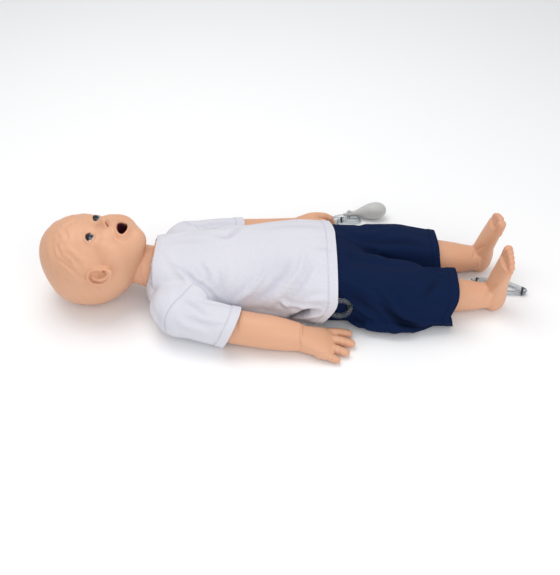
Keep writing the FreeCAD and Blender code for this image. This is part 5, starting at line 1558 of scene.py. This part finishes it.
# %% Folds of the shorts
shorts_folds = [
    ([(150, 20, 97), (166, 20, 90), (182, 16, 84), (200, 12, 78), (216, 8, 72), (236, 6, 62), (256, 5, 56)],
     4.6, -1.5),
    ([(166, -8, 90), (190, -12, 86), (214, -16, 80)], 7.0, 0.9),
    ([(209, -78, 76), (216, -83, 71), (225, -88, 64), (233, -92, 55), (242, -94, 48), (253, -96, 39), (265, -97, 32),
      (284, -96, 24), (312, -95, 20)],
     5.0, 3.8),
    ([(214, -89, 54), (223, -94, 45), (231, -97, 38), (239, -99, 31), (249, -98, 24), (261, -97, 18), (290, -96, 13),
      (322, -94, 13)],
     4.4, -5.6),
    ([(158, -75, 70), (170, -78, 63), (179, -81, 58), (188, -84, 52), (197, -88, 47), (208, -92, 40)], 5.2, -1.6),
    ([(160, -80, 58), (175, -84, 47), (193, -90, 36), (213, -95, 24), (236, -99, 14)], 5.2, 3.6),
    ([(156, -66, 82), (172, -70, 77), (190, -76, 70), (206, -82, 62)], 5.2, 2.6),
    ([(287, -30, 77), (296, -38, 76), (306, -46, 75), (318, -48, 75)], 3.4, 2.0),
    ([(284, -22, 74), (294, -30, 76), (308, -36, 76)], 3.0, -1.8),
    ([(296, -58, 74), (286, -72, 72), (274, -86, 62)], 5.0, -1.8),
    ([(250, -60, 78), (262, -76, 72), (270, -88, 58)], 5.0, 1.6),
    ([(200, -40, 85), (236, -46, 82), (276, -50, 78)], 7.0, 1.2),
    ([(174, 42, 88), (197, 40, 86), (222, 50, 84), (245, 62, 80)], 6.0, 2.0),
    ([(196, 26, 80), (228, 30, 79), (262, 32, 78), (300, 30, 75)], 6.5, -2.0),
    ([(240, 78, 64), (280, 80, 62), (320, 82, 58)], 5.0, 1.8),
    ([(190, 84, 50), (240, 92, 40), (300, 94, 34)], 6.0, 2.4),
    ([(180, 84, 30), (230, 95, 22), (290, 95, 18)], 5.0, -2.4),
    ([(166, -84, 26), (186, -88, 18), (210, -93, 10)], 4.0, -2.2),
    ([(186, 60, 84), (196, 76, 72), (200, 86, 54)], 5.0, -1.6)]
shadow = fold(shorts, shorts_folds)
soften(shorts, 2)
lift_off(shorts, [skins["leg_right"], skins["leg_left"], nodes["pelvis"]], body_gap)
p, n = points_of(shorts), normals_of(shorts)
stitch = np.exp(-((from_hem - 12.5) / 1.1) ** 2)
middle_seam = np.exp(-(p[:, 1] / 1.0) ** 2) * smooth_step(p[:, 2], 40, 60) * smooth_step(200 - p[:, 0], 0, 10)
push = 0.7 * smooth_step(13 - from_hem, 0, 1.6) - 0.4 * stitch - 0.35 * middle_seam
push += 0.25 * np.sin((p[:, 1] + 0.8 * p[:, 2]) * 1.0) * np.exp(-((from_hem - 12) / 3.0) ** 2)
push += 0.6 * np.sin(np.arctan2(p[:, 2] - 50, p[:, 1]) * 60) * smooth_step(122 - p[:, 0], 0, 6)
p = p + n * push[:, None]
p[:, 2] = np.maximum(p[:, 2], np.where(p[:, 0] < 165, 2.2, cloth_low))
move_points(shorts, p)
dashes = 0.5 + 0.5 * np.sign(np.sin((p[:, 1] + p[:, 2]) * 2.0))
paint(shorts, "hem", np.maximum(stitch * dashes, 0.2 * middle_seam))
paint(shorts, "hollow", np.zeros(len(p)))
paint(shorts, "shadow", 1.5 * shadow)

# %% Cut the shorts into their pieces
bm = opened(shorts)
cut(bm, (hip_seam_x, 0, 0), (1, 0, 0), clear=False)
cut(bm, (0, 0, 0), (0, 1, 0), lambda c: c.x > 155 and abs(c.y) < 20, clear=False)
write_back(bm, shorts)
hips = cloth_part(shorts, "shorts_hip_twill", lambda c: c.x < hip_seam_x)
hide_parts("shorts_hip")
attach(hips, "torso")
right_shorts = cloth_part(shorts, "shorts_right_twill", lambda c: c.x > hip_seam_x and c.y < 0)
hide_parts("shorts_leg_right")
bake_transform(right_shorts)
left_shorts = cloth_part(shorts, "shorts_left_twill", lambda c: c.x > hip_seam_x and c.y > 0)
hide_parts("shorts_leg_left")
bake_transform(left_shorts)
for piece in (hips, right_shorts, left_shorts):
    give_wall(piece, cloth_wall)
    shorts_finish.on(piece)
bpy.data.objects.remove(shorts)

# %% [markdown]
# ## What works inside
# Shells, spring, plates and bolts keep their construction shapes, which are right, and only get their
# finishes: cream moulded plastic, steel, soft film. The return spring is drawn again as a light coil;
# the real one shortens when the chest is pressed.

# %% Inner finishes
shell_finish = Finish("moulded_shell", (0.62, 0.58, 0.50), 0.5)
shell_finish.colour(shell_finish.mix(shell_finish.noise(20, 3), (0.58, 0.54, 0.46), (0.66, 0.62, 0.54)))
shell_finish.relief(shell_finish.noise(900, 2), 0.05)
steel_finish = Finish("turned_steel", (0.55, 0.55, 0.57), 0.28, Metallic=1.0)
steel_finish.roughness(steel_finish.noise(400, 3, steel_finish.stretched((1, 8, 1))) * 0.2 + 0.2)
film_finish = Finish("lung_film", (0.72, 0.76, 0.80), 0.3, Transmission_Weight=0.3)
film_finish.colour(film_finish.mix(film_finish.noise(50, 4), (0.66, 0.70, 0.75), (0.80, 0.84, 0.87)))
hose_finish = Finish("airway_hose", (0.60, 0.63, 0.63), 0.4)
hose_finish.colour(hose_finish.mix(hose_finish.noise(60, 3), (0.55, 0.58, 0.58), (0.66, 0.69, 0.69)))
shell_finish.on(*[nodes[name] for name in ("back_shell", "pelvis", "neck_plate", "neck_core", "neck_lock_ring",
                                           "skull_plate", "spring_seat",
                                           "breastbone_plate")])
steel_finish.on(nodes["hip_axle"], nodes["shoulder_bolts"])
film_finish.on(nodes["lung_bag"])
hose_finish.on(hose)
fitting_finish.on(nodes["tube_port_right"], nodes["tube_port_left"])

# %% Return spring
turns, wire, spring_radius, spring_low, spring_high = 5, 4.0, 17.0, 11.6, 78.0
bm = bmesh.new()
rings = []
for step in np.linspace(0, turns, turns * 28 + 1):
    a = step * 2 * math.pi
    out = Vector((math.cos(a), math.sin(a), 0))
    centre = Vector((press_x, 0, spring_low + (spring_high - spring_low) * step / turns)) + out * spring_radius
    rings.append([centre + out * wire / 2 * math.cos(t) + Vector((0, 0, wire / 2 * math.sin(t)))
                  for t in ring_angles(12)])
add_rings(bm, rings)
spring = piece_from(bm, "return_spring")
steel_finish.on(spring)
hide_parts("compression_spring")
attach(spring, "torso")
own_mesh(spring)

# %% Floor
bm = bmesh.new()
bmesh.ops.create_grid(bm, x_segments=2, y_segments=2, size=6)
floor = piece_from(bm, "studio_floor")
floor.location.z = -0.0002
floor_finish = Finish("pale_floor", (0.95, 0.95, 0.955), 0.8)
floor_finish.colour(floor_finish.mix(floor_finish.noise(3, 2), (0.945, 0.948, 0.952), (0.952, 0.955, 0.96)))
floor_finish.on(floor)
floor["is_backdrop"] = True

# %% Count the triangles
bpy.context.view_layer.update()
triangles = 0
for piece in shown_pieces():
    if piece.type == "MESH":
        triangles += sum(len(f.vertices) - 2 for f in piece.data.polygons)
print("triangles before modifiers:", triangles)
